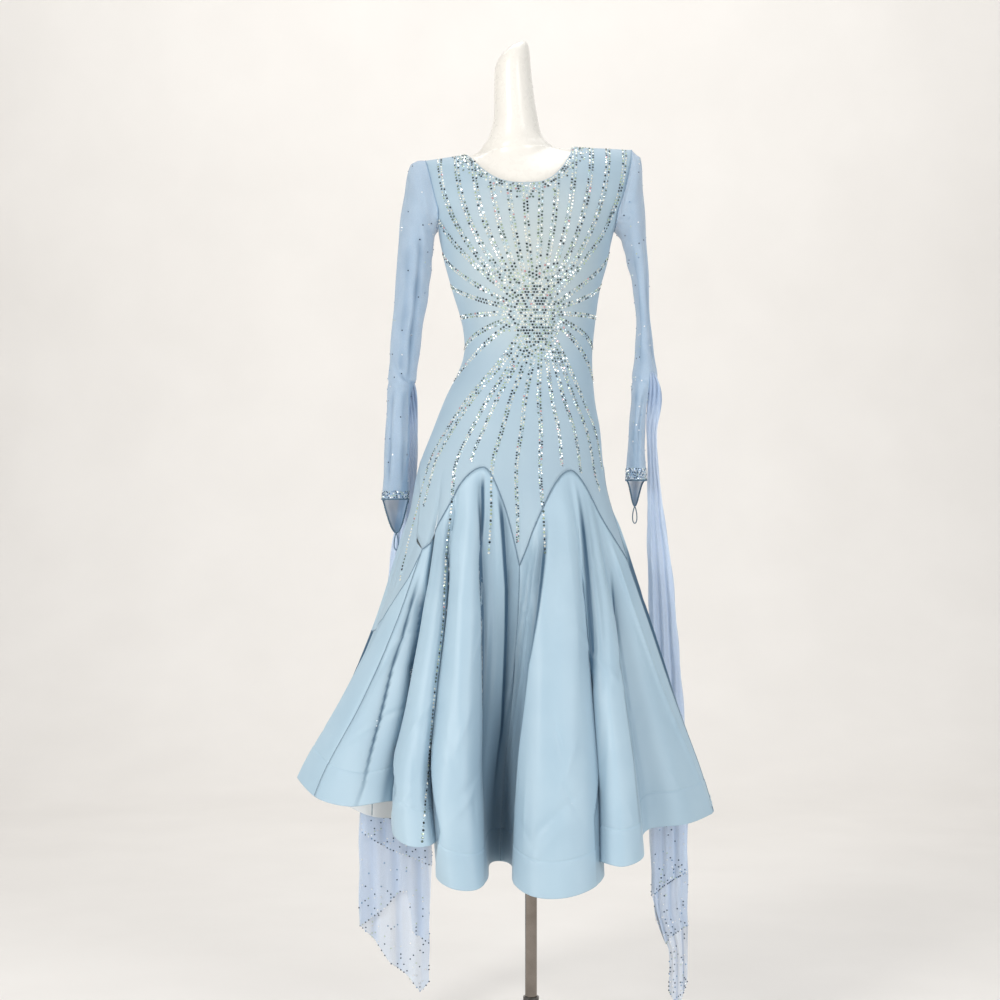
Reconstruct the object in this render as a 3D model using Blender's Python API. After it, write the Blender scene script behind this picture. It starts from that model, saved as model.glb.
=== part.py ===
"""Ballroom dance dress on a limbless dress form. Metres, +Z up, the dress faces -Y.

The origin is the centre of the base plate's underside, on the pole's axis. Left and right are the wearer's.
"""
import math

import bpy
import numpy as np

# Driving dimensions
CLOTH_WALL = 0.0015
MESH_WALL = 0.0010
SEAM_HALF_GAP = 0.00020
GODET_EDGE_GAP = 0.00040
FORM_CLEARANCE = 0.0050
SHOULDER_SEAT_GAP = 0.0020

POLE_RADIUS = 0.0102
POLE_TOP = 0.885
COLLAR_RADIUS = 0.0135
COLLAR_LOW = 0.045
COLLAR_HIGH = 0.083
BASE_RADIUS = 0.170
BASE_THICKNESS = 0.010
BASE_EDGE = 0.003
BASE_SIDES = 48
POLE_SIDES = 24
FIT_GAP = 0.0003

ARMPIT = 1.382
CAP_START = 1.400
CAP_LENGTH = 0.140
RIDGE = CAP_START + CAP_LENGTH
CAP_DEPTH = 0.098
SHOULDER_LEVEL = 1.5255
SHOULDER_TILT = 0.050
SHOULDER_SLOPE = 0.095
SHOULDER_ROUND = 0.040
ARMHOLE_TOP_ANGLE = 65.0
ARMHOLE_CURVE = 0.034
ARMHOLE_CURVE_POWER = 0.8

FOLD_START = 0.985
FOLD_GROWTH = 1.25
SEAM_ARCH = 1.9

UPPER_SHARES = (0.0, 0.08, 0.19, 0.34, 0.50, 0.66, 0.82, 0.93, 1.0)
LOWER_ROWS = 9
SEAM_STEP = 4.0
SKIRT_ROWS = 8
SHARP_EDGE = 50.0
NORMAL_ANGLE_STEP = 0.2
NORMAL_HEIGHT_STEP = 0.0008
CORNER_TOLERANCE = 0.01

# Where each godet starts round the skirt
GODETS = {
    "front_right": -53.0,
    "front_left": 4.2,
    "side_left": 64.5,
    "back_left": 122.0,
    "back_right": 180.0,
    "side_right": 238.0,
}

# Body and skirt cone sections: height, centre, half width, front depth, back depth
SECTIONS = [
    (0.26, -0.050, 0.300, 0.235, 0.250),
    (0.45, -0.050, 0.285, 0.215, 0.230),
    (0.60, -0.040, 0.245, 0.185, 0.198),
    (0.72, -0.0325, 0.215, 0.155, 0.170),
    (0.83, -0.0305, 0.190, 0.130, 0.148),
    (0.90, -0.0310, 0.174, 0.115, 0.132),
    (0.9775, -0.0340, 0.158, 0.103, 0.118),
    (1.0455, -0.0247, 0.142, 0.096, 0.110),
    (1.0965, -0.0191, 0.1275, 0.090, 0.098),
    (1.1645, -0.0060, 0.1100, 0.084, 0.082),
    (1.2155, -0.0038, 0.1115, 0.090, 0.082),
    (1.2835, -0.0085, 0.1258, 0.108, 0.088),
    (1.3300, -0.0085, 0.1385, 0.112, 0.094),
    (1.3820, -0.0090, 0.1500, 0.103, 0.097),
    (1.4100, -0.0050, 0.1660, 0.096, 0.096),
    (1.4400, -0.0030, 0.1780, 0.092, 0.092),
    (1.4800, -0.0025, 0.1880, 0.090, 0.090),
    (1.5200, -0.0040, 0.1930, 0.090, 0.090),
]

# Godet seam on the panels: angle from the centre front, height of an arch's top or of a point between godets
SEAM = [
    (-90.0, 0.990),
    (-53.0, 0.842),
    (-17.2, 0.981),
    (4.2, 0.819),
    (38.5, 0.976),
    (64.5, 0.826),
    (90.0, 0.982),
    (122.0, 0.830),
    (148.4, 0.985),
    (180.0, 0.830),
    (211.6, 0.985),
    (238.0, 0.834),
    (270.0, 0.990),
]
ARCH_TOPS = (-90.0, -17.2, 38.5, 90.0, 148.4, 211.6, 270.0)

# Panel columns: from angle, to angle, columns between them, skirt columns for each
FRONT_COLUMNS = [
    (-90.0, -53.0, 5, 2),
    (-53.0, -17.2, 10, 2),
    (-17.2, 4.2, 4, 3),
    (4.2, 38.5, 10, 2),
    (38.5, 64.5, 4, 3),
    (64.5, 90.0, 4, 2),
]
BACK_COLUMNS = [
    (90.0, 122.0, 4, 2),
    (122.0, 148.4, 4, 2),
    (148.4, 180.0, 4, 2),
    (180.0, 211.6, 4, 2),
    (211.6, 225.8, 2, 2),
    (225.8, 238.0, 2, 2),
    (238.0, 270.0, 4, 2),
]

# Neckline: corner angles on the panel, angle of the lowest point, height parameter there, curve power
FRONT_NECK = {"right": -45.84, "left": 31.64, "low": 0.0, "height": 1.4392, "power": 2.4}
BACK_NECK = {"right": 225.8, "left": 148.4, "low": 185.0, "height": 1.4900, "power": 2.4}

# Hem: angle on the skirt, x, y, height. Crests and valleys of the folds, in order round the skirt
HEM = [
    (-53.0, -0.396, -0.004, 0.454),
    (-48.5, -0.356, -0.078, 0.431),
    (-44.5, -0.300, -0.122, 0.424),
    (-40.5, -0.246, -0.142, 0.434),
    (-37.0, -0.222, -0.118, 0.432),
    (-34.0, -0.210, -0.090, 0.415),
    (-31.0, -0.226, -0.165, 0.392),
    (-27.5, -0.202, -0.215, 0.377),
    (-23.5, -0.166, -0.218, 0.376),
    (-20.0, -0.143, -0.165, 0.385),
    (-17.2, -0.142, -0.120, 0.365),
    (-14.2, -0.154, -0.185, 0.326),
    (-10.5, -0.130, -0.234, 0.312),
    (-6.5, -0.092, -0.234, 0.309),
    (-3.0, -0.073, -0.195, 0.319),
    (0.5, -0.070, -0.130, 0.331),
    (4.2, -0.052, -0.085, 0.328),
    (8.0, -0.033, -0.140, 0.330),
    (12.0, -0.029, -0.215, 0.315),
    (17.0, 0.000, -0.262, 0.304),
    (23.0, 0.046, -0.270, 0.303),
    (29.0, 0.090, -0.245, 0.312),
    (33.5, 0.114, -0.195, 0.325),
    (37.0, 0.106, -0.165, 0.340),
    (41.0, 0.108, -0.215, 0.350),
    (45.0, 0.142, -0.240, 0.347),
    (49.0, 0.176, -0.205, 0.356),
    (52.5, 0.178, -0.140, 0.375),
    (56.0, 0.196, -0.125, 0.389),
    (60.0, 0.256, -0.095, 0.391),
    (64.5, 0.309, -0.010, 0.398),
    (71.0, 0.285, 0.034, 0.401),
    (79.0, 0.215, 0.046, 0.403),
    (87.0, 0.182, 0.082, 0.399),
    (95.0, 0.212, 0.150, 0.386),
    (103.0, 0.243, 0.202, 0.376),
    (110.0, 0.200, 0.206, 0.370),
    (116.0, 0.160, 0.180, 0.365),
    (122.0, 0.148, 0.232, 0.356),
    (131.0, 0.108, 0.276, 0.350),
    (140.0, 0.062, 0.238, 0.350),
    (148.4, 0.030, 0.280, 0.345),
    (158.0, -0.015, 0.298, 0.340),
    (168.0, -0.045, 0.238, 0.340),
    (180.0, -0.064, 0.224, 0.340),
    (190.0, -0.090, 0.284, 0.340),
    (201.0, -0.132, 0.288, 0.345),
    (211.6, -0.158, 0.222, 0.350),
    (221.0, -0.180, 0.152, 0.356),
    (230.0, -0.228, 0.130, 0.364),
    (238.0, -0.278, 0.116, 0.370),
    (247.0, -0.324, 0.146, 0.384),
    (257.0, -0.352, 0.112, 0.402),
    (267.0, -0.340, 0.064, 0.418),
    (278.0, -0.372, 0.062, 0.436),
    (292.0, -0.384, 0.030, 0.448),
    (307.0, -0.396, -0.004, 0.454),
]

# Sleeves: outer x, outer height, inner x, inner height, half depth, y of the middle
SLEEVES = {
    "left": [
        (0.1800, 1.5120, 0.1450, 1.3780, 0.046, 0.000),
        (0.1868, 1.5050, 0.1530, 1.3680, 0.047, 0.000),
        (0.1885, 1.4820, 0.1580, 1.3520, 0.047, 0.000),
        (0.1915, 1.4380, 0.1630, 1.3300, 0.046, 0.001),
        (0.1955, 1.3800, 0.1700, 1.3040, 0.044, 0.002),
        (0.1998, 1.3070, 0.1765, 1.2650, 0.042, 0.004),
        (0.2028, 1.2340, 0.1794, 1.2160, 0.040, 0.006),
        (0.2085, 1.1850, 0.1765, 1.1750, 0.038, 0.007),
        (0.2165, 1.1400, 0.1730, 1.1400, 0.036, 0.008),
        (0.2150, 1.1240, 0.1720, 1.1260, 0.035, 0.008),
        (0.1950, 1.1150, 0.1710, 1.1150, 0.032, 0.008),
        (0.1945, 1.0625, 0.1680, 1.0625, 0.032, 0.009),
        (0.1945, 1.0180, 0.1649, 1.0180, 0.032, 0.010),
        (0.1965, 0.9600, 0.1620, 0.9600, 0.033, 0.010),
    ],
    "right": [
        (-0.1940, 1.5020, -0.1640, 1.3730, 0.046, 0.000),
        (-0.2055, 1.4940, -0.1655, 1.3600, 0.047, 0.000),
        (-0.2110, 1.4720, -0.1670, 1.3450, 0.047, 0.000),
        (-0.2180, 1.4300, -0.1690, 1.3230, 0.046, 0.001),
        (-0.2245, 1.3800, -0.1720, 1.2950, 0.045, 0.002),
        (-0.2290, 1.3100, -0.1770, 1.2600, 0.043, 0.004),
        (-0.2350, 1.2400, -0.1853, 1.2130, 0.041, 0.006),
        (-0.2400, 1.1780, -0.1913, 1.1620, 0.038, 0.007),
        (-0.2425, 1.1400, -0.1955, 1.1320, 0.036, 0.008),
        (-0.2435, 1.1290, -0.1980, 1.1230, 0.035, 0.008),
        (-0.2445, 1.1140, -0.2083, 1.1140, 0.033, 0.008),
        (-0.2480, 1.0420, -0.2064, 1.0420, 0.032, 0.009),
        (-0.2514, 0.9700, -0.2083, 0.9700, 0.032, 0.010),
        (-0.2533, 0.9280, -0.2090, 0.9280, 0.032, 0.010),
    ],
}
SLEEVE_ROWS = 16
CUFF_POINT = {"left": 0.044, "right": 0.058}
CUFF_POINT_WIDTH = 2.6
CUFF_POINT_ROWS = 6

# Floats: height, x of the left edge seen from the front, x of the right edge, y, spacing of the folded layers
FLOATS = {
    "left": [
        (1.1100, 0.1985, 0.2160, 0.011, 0.0040),
        (1.0850, 0.1975, 0.2185, 0.016, 0.0045),
        (1.0400, 0.1985, 0.2150, 0.018, 0.0045),
        (0.9780, 0.2003, 0.2183, 0.022, 0.0045),
        (0.8900, 0.2003, 0.2300, 0.032, 0.0050),
        (0.8000, 0.2025, 0.2440, 0.046, 0.0060),
        (0.7000, 0.2070, 0.2540, 0.064, 0.0070),
        (0.6000, 0.2080, 0.2640, 0.084, 0.0080),
        (0.5000, 0.2090, 0.2720, 0.096, 0.0080),
        (0.4000, 0.2090, 0.2720, 0.100, 0.0080),
        (0.0300, 0.2090, 0.2760, 0.100, 0.0080),
    ],
    "right": [
        (1.1150, -0.2060, -0.1950, 0.010, 0.0040),
        (1.0700, -0.2060, -0.1935, 0.020, 0.0045),
        (1.0000, -0.2130, -0.1955, 0.044, 0.0045),
        (0.9300, -0.2260, -0.1980, 0.064, 0.0050),
        (0.8600, -0.2390, -0.1990, 0.088, 0.0060),
        (0.8000, -0.2470, -0.2000, 0.106, 0.0060),
        (0.7000, -0.2650, -0.2000, 0.132, 0.0070),
        (0.6000, -0.2830, -0.1960, 0.154, 0.0080),
        (0.5000, -0.2960, -0.1860, 0.170, 0.0080),
        (0.4000, -0.3020, -0.1790, 0.178, 0.0080),
        (0.0300, -0.3020, -0.1760, 0.180, 0.0080),
    ],
}

# Lower edge of each float: layer, place across it from -1 to 1, height
FLOAT_HEMS = {
    "left": [
        ("back", -1.0, 0.085), ("back", -0.3, 0.045), ("back", 0.2, 0.038), ("back", 1.0, 0.068),
        ("front", -1.0, 0.182), ("front", 0.3, 0.162), ("front", 1.0, 0.148),
        ("over", -1.0, 0.278), ("over", 0.2, 0.256), ("over", 1.0, 0.236),
    ],
    "right": [
        ("back", -1.0, 0.162), ("back", -0.6, 0.138), ("back", -0.2, 0.098), ("back", 0.3, 0.076),
        ("back", 0.7, 0.044), ("back", 1.0, 0.066),
        ("front", -1.0, 0.164), ("front", -0.3, 0.196), ("front", 0.1, 0.226), ("front", 0.35, 0.226),
        ("front", 0.5, 0.152), ("front", 1.0, 0.132),
        ("over", -1.0, 0.334), ("over", -0.2, 0.304), ("over", 0.4, 0.290), ("over", 1.0, 0.274),
    ],
}
FLOAT_ROWS = 10
LAYER_STEPS = (-0.95, -0.60, -0.20, 0.20, 0.60, 0.95)
TURN_REACH = 1.04

# Finger loop: thread radius, points round it, half width, half height, drop below the cuff point, taper
LOOP_THREAD = 0.0011
LOOP_POINTS = 14
LOOP_HALF_WIDTH = 0.0048
LOOP_HALF_HEIGHT = 0.0140
LOOP_DROP = 0.0155
LOOP_TAPER = 0.25

# Form's neck rings: height, centre x, half width, front depth, back depth
NECK_RINGS = [
    (1.5260, -0.0235, 0.0650, 0.0540, 0.0295),
    (1.5285, -0.0236, 0.0590, 0.0530, 0.0320),
    (1.5340, -0.0248, 0.0520, 0.0505, 0.0345),
    (1.5430, -0.0260, 0.0460, 0.0480, 0.0365),
    (1.5570, -0.0262, 0.0410, 0.0455, 0.0380),
    (1.5750, -0.0255, 0.0374, 0.0430, 0.0380),
    (1.6060, -0.0287, 0.0342, 0.0400, 0.0370),
    (1.6400, -0.0312, 0.0316, 0.0380, 0.0360),
    (1.6620, -0.0318, 0.0300, 0.0360, 0.0350),
    (1.6740, -0.0305, 0.0262, 0.0310, 0.0300),
    (1.6810, -0.0285, 0.0190, 0.0225, 0.0220),
    (1.6840, -0.0265, 0.0095, 0.0110, 0.0110),
]
NECK_HALF_WIDTH = 0.066
NECK_MIDDLE = -0.024
NECK_FRONT = 0.055
NECK_BACK = 0.030
NECK_TOP_SLANT = 0.55
NECK_SLANT_START = 1.600
NECK_SLANT_MIDDLE = -0.030
NECK_EVEN_RINGS = 5
NECK_FIRST_SHARE = 0.4
SHOULDER_INSET = 0.030
INSET_START = 1.370
INSET_LENGTH = 0.050
INSET_POWER = 0.7
NECK_BLEND = 8
HIP_TAPER_START = 0.985
HIP_TAPER = 0.014
HIP_TAPER_LENGTH = 0.100
HIP_TAPER_POWER = 1.5
FORM_COLUMNS = 32
BODY_RINGS = 13
CAP_RING_SHARES = (0.0, 0.12, 0.26, 0.40, 0.54, 0.68, 0.80, 0.90, 0.965)


def clear_scene():
    for obj in list(bpy.data.objects):
        bpy.data.objects.remove(obj, do_unlink=True)


def material(name, colour, roughness, metallic=0.0):
    mat = bpy.data.materials.new(name)
    mat.use_nodes = True
    shader = mat.node_tree.nodes["Principled BSDF"]
    shader.inputs["Base Color"].default_value = (*colour, 1.0)
    shader.inputs["Roughness"].default_value = roughness
    shader.inputs["Metallic"].default_value = metallic
    return mat


def curve_through(rows, at, periodic=0.0):
    """Smooth values at one place, read from rows whose first entry is the place."""
    places = [row[0] for row in rows]
    if periodic:
        at = places[0] + (at - places[0]) % periodic
    at = min(max(at, places[0]), places[-1])
    k = min(max(sum(1 for place in places if place <= at) - 1, 0), len(rows) - 2)
    before = rows[k - 1] if k > 0 else None
    after = rows[k + 2] if k + 2 < len(rows) else None
    if periodic and before is None:
        before = (rows[-2][0] - periodic, *rows[-2][1:])
    if periodic and after is None:
        after = (rows[1][0] + periodic, *rows[1][1:])
    start, end = rows[k], rows[k + 1]
    before = before or start
    after = after or end
    span = end[0] - start[0]
    t = (at - start[0]) / span
    values = []
    for i in range(1, len(start)):
        slope_in = (end[i] - before[i]) / (end[0] - before[0]) * span
        slope_out = (after[i] - start[i]) / (after[0] - start[0]) * span
        a = 2 * start[i] - 2 * end[i] + slope_in + slope_out
        b = -3 * start[i] + 3 * end[i] - 2 * slope_in - slope_out
        values.append(a * t**3 + b * t**2 + slope_in * t + start[i])
    return values


def shoulder_top(x):
    """Height of the shoulder ridge, which falls from the neck to the sleeves."""
    away = math.hypot(x, SHOULDER_ROUND) - SHOULDER_ROUND
    return SHOULDER_LEVEL + SHOULDER_TILT * x - SHOULDER_SLOPE * away


def armhole_angle(height):
    """How far round a panel reaches at this height: 90 degrees at the side seam, less along the armhole."""
    if height <= ARMPIT:
        return 90.0
    share = min((height - ARMPIT) / ARMHOLE_CURVE, 1.0)
    return 90.0 - (90.0 - ARMHOLE_TOP_ANGLE) * math.sin(share * math.pi / 2) ** ARMHOLE_CURVE_POWER


def body_point(angle, height):
    """A point of the plain body and skirt cone. Above CAP_START the height runs over the rounded shoulder."""
    cap = max(0.0, (height - CAP_START) / CAP_LENGTH) * math.pi / 2
    level = min(height, CAP_START + (SHOULDER_LEVEL - CAP_START) * math.sin(cap)) if cap else height
    centre, half, front, back = curve_through(SECTIONS, level)
    turn = math.radians(angle)
    x = centre + half * math.sin(turn)
    if cap:
        depth = CAP_DEPTH * math.cos(cap)
        z = CAP_START + (shoulder_top(x) - CAP_START) * math.sin(cap)
    else:
        depth = front if math.cos(turn) > 0 else back
        z = height
    return np.array([x, -depth * math.cos(turn), z])


def hem_row(angle):
    return curve_through(HEM, angle, periodic=360.0)


def dress_point(angle, height):
    """The dress's outer surface: the body, and below the hips the folds that grow to the hem."""
    point = body_point(angle, height)
    if height < FOLD_START:
        x, y, low = hem_row(angle)
        share = min((FOLD_START - height) / (FOLD_START - low), 1.0) ** FOLD_GROWTH
        foot = body_point(angle, low)
        point[0] += share * (x - foot[0])
        point[1] += share * (y - foot[1])
    return point


def outward(surface, angle, height):
    """Unit normal of a surface given by angle and height."""
    across = surface(angle + NORMAL_ANGLE_STEP, height) - surface(angle - NORMAL_ANGLE_STEP, height)
    along = surface(angle, height + NORMAL_HEIGHT_STEP) - surface(angle, height - NORMAL_HEIGHT_STEP)
    normal = np.cross(across, along)
    return normal / np.linalg.norm(normal)


def seam_height(angle):
    """Height of the godet seam: arches between the points where two godets meet."""
    angle = -90.0 + (angle + 90.0) % 360.0
    for (start, low), (end, high) in zip(SEAM, SEAM[1:]):
        if start <= angle <= end:
            break
    top, top_height = (start, low) if start in ARCH_TOPS else (end, high)
    point_height = high if start in ARCH_TOPS else low
    share = abs(angle - top) / (end - start)
    return top_height - (top_height - point_height) * share**SEAM_ARCH


def panel_angles(columns):
    angles = [columns[0][0]]
    for start, end, count, _ in columns:
        angles += [start + (end - start) * (i + 1) / count for i in range(count)]
    return angles


def skirt_angles(columns):
    """Skirt columns with the share of each between the two panel columns beside it."""
    angles = []
    for start, end, count, fine in columns:
        step = (end - start) / count
        for i in range(count):
            angles += [(start + step * i, step, k / fine) for k in range(fine)]
    return angles


def seam_gap(angle, step):
    """Vertical half gap at the seam that leaves the true gap across it."""
    here = dress_point(angle, seam_height(angle))
    steepest = 0.0
    for side in (-step, step):
        there = dress_point(angle + side, seam_height(angle + side))
        run = math.hypot(there[0] - here[0], there[1] - here[1])
        steepest = max(steepest, abs(there[2] - here[2]) / run)
    return SEAM_HALF_GAP * math.sqrt(1.0 + steepest**2)


def neckline_height(angle, neck):
    side = "right" if abs(angle - neck["right"]) < abs(neck["low"] - neck["right"]) else "left"
    if abs(angle - neck["left"]) < abs(neck["low"] - neck["left"]):
        side = "left"
    share = abs(angle - neck["low"]) / abs(neck[side] - neck["low"])
    return neck["height"] + (RIDGE - neck["height"]) * min(share, 1.0) ** neck["power"]


def wall_mesh(name, outer, inner, closed, mat):
    """A wall between two grids of points, closed round its edges."""
    rows, columns = outer.shape[:2]
    points = np.concatenate([outer.reshape(-1, 3), inner.reshape(-1, 3)])
    inside = rows * columns
    faces = []
    last = columns if closed else columns - 1
    for r in range(rows - 1):
        for c in range(last):
            a, b = r * columns + c, r * columns + (c + 1) % columns
            d, e = a + columns, b + columns
            faces += [(a, b, e), (a, e, d)]
            faces += [(inside + a, inside + e, inside + b), (inside + a, inside + d, inside + e)]
    for c in range(last):
        for row, up in ((0, False), (rows - 1, True)):
            a, b = row * columns + c, row * columns + (c + 1) % columns
            rim = [(a, inside + b, b), (a, inside + a, inside + b)]
            faces += [face[::-1] for face in rim] if up else rim
    if not closed:
        for r in range(rows - 1):
            for column, right in ((0, False), (columns - 1, True)):
                a, b = r * columns + column, (r + 1) * columns + column
                rim = [(a, b, inside + b), (a, inside + b, inside + a)]
                faces += [face[::-1] for face in rim] if right else rim
    return solid(name, points, faces, mat)


def solid(name, points, faces, mat):
    """One closed mesh object, its faces turned outwards."""
    corners = np.array(points)[np.array(faces)]
    volume = np.einsum("ij,ij->i", corners[:, 0], np.cross(corners[:, 1], corners[:, 2])).sum()
    if volume < 0:
        faces = [face[::-1] for face in faces]
    mesh = bpy.data.meshes.new(name)
    mesh.from_pydata([tuple(point) for point in points], [], faces)
    mesh.materials.append(mat)
    mesh.shade_smooth()
    mesh.set_sharp_from_angle(angle=math.radians(SHARP_EDGE))
    obj = bpy.data.objects.new(name, mesh)
    bpy.context.scene.collection.objects.link(obj)
    return obj


def panel_grid(columns, neck, middle):
    """Outer and inner points of the front or the back panel, rows from the godet seam to the shoulder."""
    angles = panel_angles(columns)
    outer, inner = [], []
    for angle in angles:
        low = seam_height(angle) + seam_gap(angle, SEAM_STEP)
        first, last = sorted((neck["right"], neck["left"]))
        inside_neck = first - CORNER_TOLERANCE < angle < last + CORNER_TOLERANCE
        high = neckline_height(angle, neck) if inside_neck else RIDGE
        heights = [low + (ARMPIT - low) * i / LOWER_ROWS for i in range(LOWER_ROWS)]
        heights += [ARMPIT + (high - ARMPIT) * share for share in UPPER_SHARES]
        column_outer, column_inner = [], []
        for height in heights:
            place = middle + (angle - middle) * armhole_angle(height) / 90.0
            point = dress_point(place, height)
            normal = outward(dress_point, place, height)
            column_outer.append(point)
            column_inner.append(point - normal * CLOTH_WALL)
        outer.append(column_outer)
        inner.append(column_inner)
    return np.array(outer).transpose(1, 0, 2), np.array(inner).transpose(1, 0, 2)


def build_panel(name, columns, neck, middle, mat):
    outer, inner = panel_grid(columns, neck, middle)
    facing = -1.0 if middle == 0.0 else 1.0
    for grid in (outer, inner):
        grid[:, :, 1] = facing * np.maximum(facing * grid[:, :, 1], SEAM_HALF_GAP)
    return wall_mesh(name, outer, inner, False, mat)


def skirt_column(angle, step, share):
    """One column of the skirt's wall. Its top lies on the straight line between two panel columns."""
    ends = []
    for place in (angle, angle + step):
        top = seam_height(place) - seam_gap(place, step)
        point = dress_point(place, top)
        ends.append((point, point - outward(dress_point, place, top) * CLOTH_WALL))
    top_outer = ends[0][0] * (1 - share) + ends[1][0] * share
    top_inner = ends[0][1] * (1 - share) + ends[1][1] * share
    place = angle + step * share
    low = hem_row(place)[2]
    outer, inner = [top_outer], [top_inner]
    for i in range(1, SKIRT_ROWS + 1):
        height = top_outer[2] + (low - top_outer[2]) * i / SKIRT_ROWS
        point = dress_point(place, height)
        outer.append(point)
        inner.append(point - outward(dress_point, place, height) * CLOTH_WALL)
    return np.array(outer), np.array(inner)


def build_godets(mat):
    """Six godets between the seam's low points, each one wall that stops short of its neighbours."""
    columns = skirt_angles(FRONT_COLUMNS) + skirt_angles(BACK_COLUMNS)
    places = [angle + step * share for angle, step, share in columns]
    walls = [skirt_column(*column) for column in columns]
    starts = list(GODETS.values())
    count = len(columns)
    for k, name in enumerate(GODETS):
        first = min(range(count), key=lambda i: abs(places[i] - starts[k]))
        target = starts[(k + 1) % len(starts)]
        last = min(range(count), key=lambda i: abs(places[i] - target))
        picked = [i % count for i in range(first, last + 1 if last > first else last + count + 1)]
        outer = np.array([walls[i][0] for i in picked]).transpose(1, 0, 2)
        inner = np.array([walls[i][1] for i in picked]).transpose(1, 0, 2)
        for edge, beside in ((0, 1), (-1, -2)):
            for grid in (outer, inner):
                way = outer[:, beside] - outer[:, edge]
                way /= np.linalg.norm(way, axis=1)[:, None]
                grid[:, edge] = grid[:, edge] + way * GODET_EDGE_GAP
        wall_mesh("godet_" + name, outer, inner, False, mat)


def armhole_loop(side):
    """The bodice's armhole edge: down its front from the shoulder, and up its back."""
    sign = 1.0 if side == "left" else -1.0
    heights = [ARMPIT + (RIDGE - ARMPIT) * share for share in reversed(UPPER_SHARES)]
    loop = []
    for height in heights:
        loop.append(dress_point(sign * armhole_angle(height), height))
    for height in heights[-2:0:-1]:
        loop.append(dress_point(180.0 - sign * armhole_angle(height), height))
    return np.array(loop)


def sleeve_ring(row, columns):
    """One ring of a sleeve: an ellipse from its outer to its inner point."""
    outer_x, outer_z, inner_x, inner_z, depth, y = row
    ring = []
    for k in range(columns):
        turn = 2 * math.pi * k / columns
        reach = (1 + math.cos(turn)) / 2
        x = inner_x + (outer_x - inner_x) * reach
        z = inner_z + (outer_z - inner_z) * reach
        ring.append((x, y - depth * math.sin(turn), z))
    return np.array(ring)


def grid_normals(grid):
    """Unit normals of a tube's grid, from the points beside each."""
    across = np.roll(grid, -1, axis=1) - np.roll(grid, 1, axis=1)
    along = np.gradient(grid, axis=0)
    normals = np.cross(across, along)
    return normals / np.linalg.norm(normals, axis=2)[:, :, None]


def build_sleeve(side, mat):
    """A tube from the armhole to the cuff, with a point over the back of the hand."""
    sign = 1.0 if side == "left" else -1.0
    loop = armhole_loop(side)
    loop[:, 0] += sign * 2 * SEAM_HALF_GAP
    columns = len(loop)
    rows = [(i, *row) for i, row in enumerate(SLEEVES[side])]
    last = len(rows) - 1
    rings = [loop]
    for i in range(SLEEVE_ROWS + 1):
        rings.append(sleeve_ring(curve_through(rows, last * i / SLEEVE_ROWS), columns))
    grid = np.array(rings)
    reach = len(grid) - CUFF_POINT_ROWS
    for k in range(columns):
        turn = 2 * math.pi * k / columns
        tip = max(0.0, math.cos(turn - 1.5 * math.pi)) ** CUFF_POINT_WIDTH
        for r in range(reach, len(grid)):
            share = (r - reach) / (len(grid) - 1 - reach)
            grid[r, k, 2] -= CUFF_POINT[side] * tip * share
    normals = grid_normals(grid)
    middle = grid.mean(axis=1, keepdims=True)
    facing = np.sign(((grid - middle) * normals).sum())
    seam_plane = facing * (grid[0] - middle[0])
    seam_plane[:, 0] = 0.0
    normals[0] = seam_plane / np.linalg.norm(seam_plane, axis=1)[:, None]
    return wall_mesh("sleeve_" + side, grid, grid - facing * normals * MESH_WALL, True, mat)


def float_columns():
    """Places across the folded scarf: back layer, front layer, then the layer over it."""
    places = []
    for layer, (name, way) in enumerate((("back", -1), ("front", 1), ("over", -1))):
        if layer:
            places.append((name, -way * TURN_REACH, layer - 0.5))
        places += [(name, way * step, float(layer)) for step in LAYER_STEPS]
    return places


def float_low(side, layer, across):
    rows = [(place, height) for name, place, height in FLOAT_HEMS[side] if name == layer]
    places, heights = zip(*rows)
    return float(np.interp(across, places, heights))


def build_float(side, mat):
    """A scarf of mesh cloth hung from the elbow, folded in three layers."""
    mirror = 1.0 if side == "right" else -1.0
    rows = [(-row[0], *row[1:]) for row in FLOATS[side]]
    top = FLOATS[side][0][0]
    grid = []
    for layer, across, depth in float_columns():
        low = float_low(side, layer, across)
        column = []
        for i in range(FLOAT_ROWS + 1):
            z = top + (low - top) * i / FLOAT_ROWS
            left, right, y, spacing = curve_through(rows, -z)
            place = across * mirror
            x = (left + right) / 2 + (right - left) / 2 * place
            column.append((x, y - (depth - 1.0) * spacing, z))
        grid.append(column)
    grid = np.array(grid).transpose(1, 0, 2)
    across = np.gradient(grid, axis=1)
    across[:, :, 2] = 0.0
    normals = np.stack([across[:, :, 1], -across[:, :, 0], np.zeros(across.shape[:2])], axis=2)
    normals /= np.linalg.norm(normals, axis=2)[:, :, None]
    half = normals * MESH_WALL / 2
    return wall_mesh("float_" + side, grid + half, grid - half, False, mat)


def build_loop(side, tip, mat):
    """The finger loop below a cuff point: an elastic loop, made as a closed tube."""
    curve = bpy.data.curves.new("finger_loop_" + side, "CURVE")
    curve.dimensions = "3D"
    curve.bevel_depth = LOOP_THREAD
    curve.bevel_resolution = 2
    spline = curve.splines.new("POLY")
    spline.points.add(LOOP_POINTS - 1)
    spline.use_cyclic_u = True
    for k in range(LOOP_POINTS):
        turn = 2 * math.pi * k / LOOP_POINTS
        width = LOOP_HALF_WIDTH * math.sin(turn) * (1 - LOOP_TAPER - LOOP_TAPER * math.cos(turn))
        height = tip[2] - LOOP_DROP + LOOP_HALF_HEIGHT * math.cos(turn)
        spline.points[k].co = (tip[0] + width, tip[1], height, 1.0)
    curve.materials.append(mat)
    obj = bpy.data.objects.new("finger_loop_" + side, curve)
    bpy.context.scene.collection.objects.link(obj)
    return obj


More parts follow.
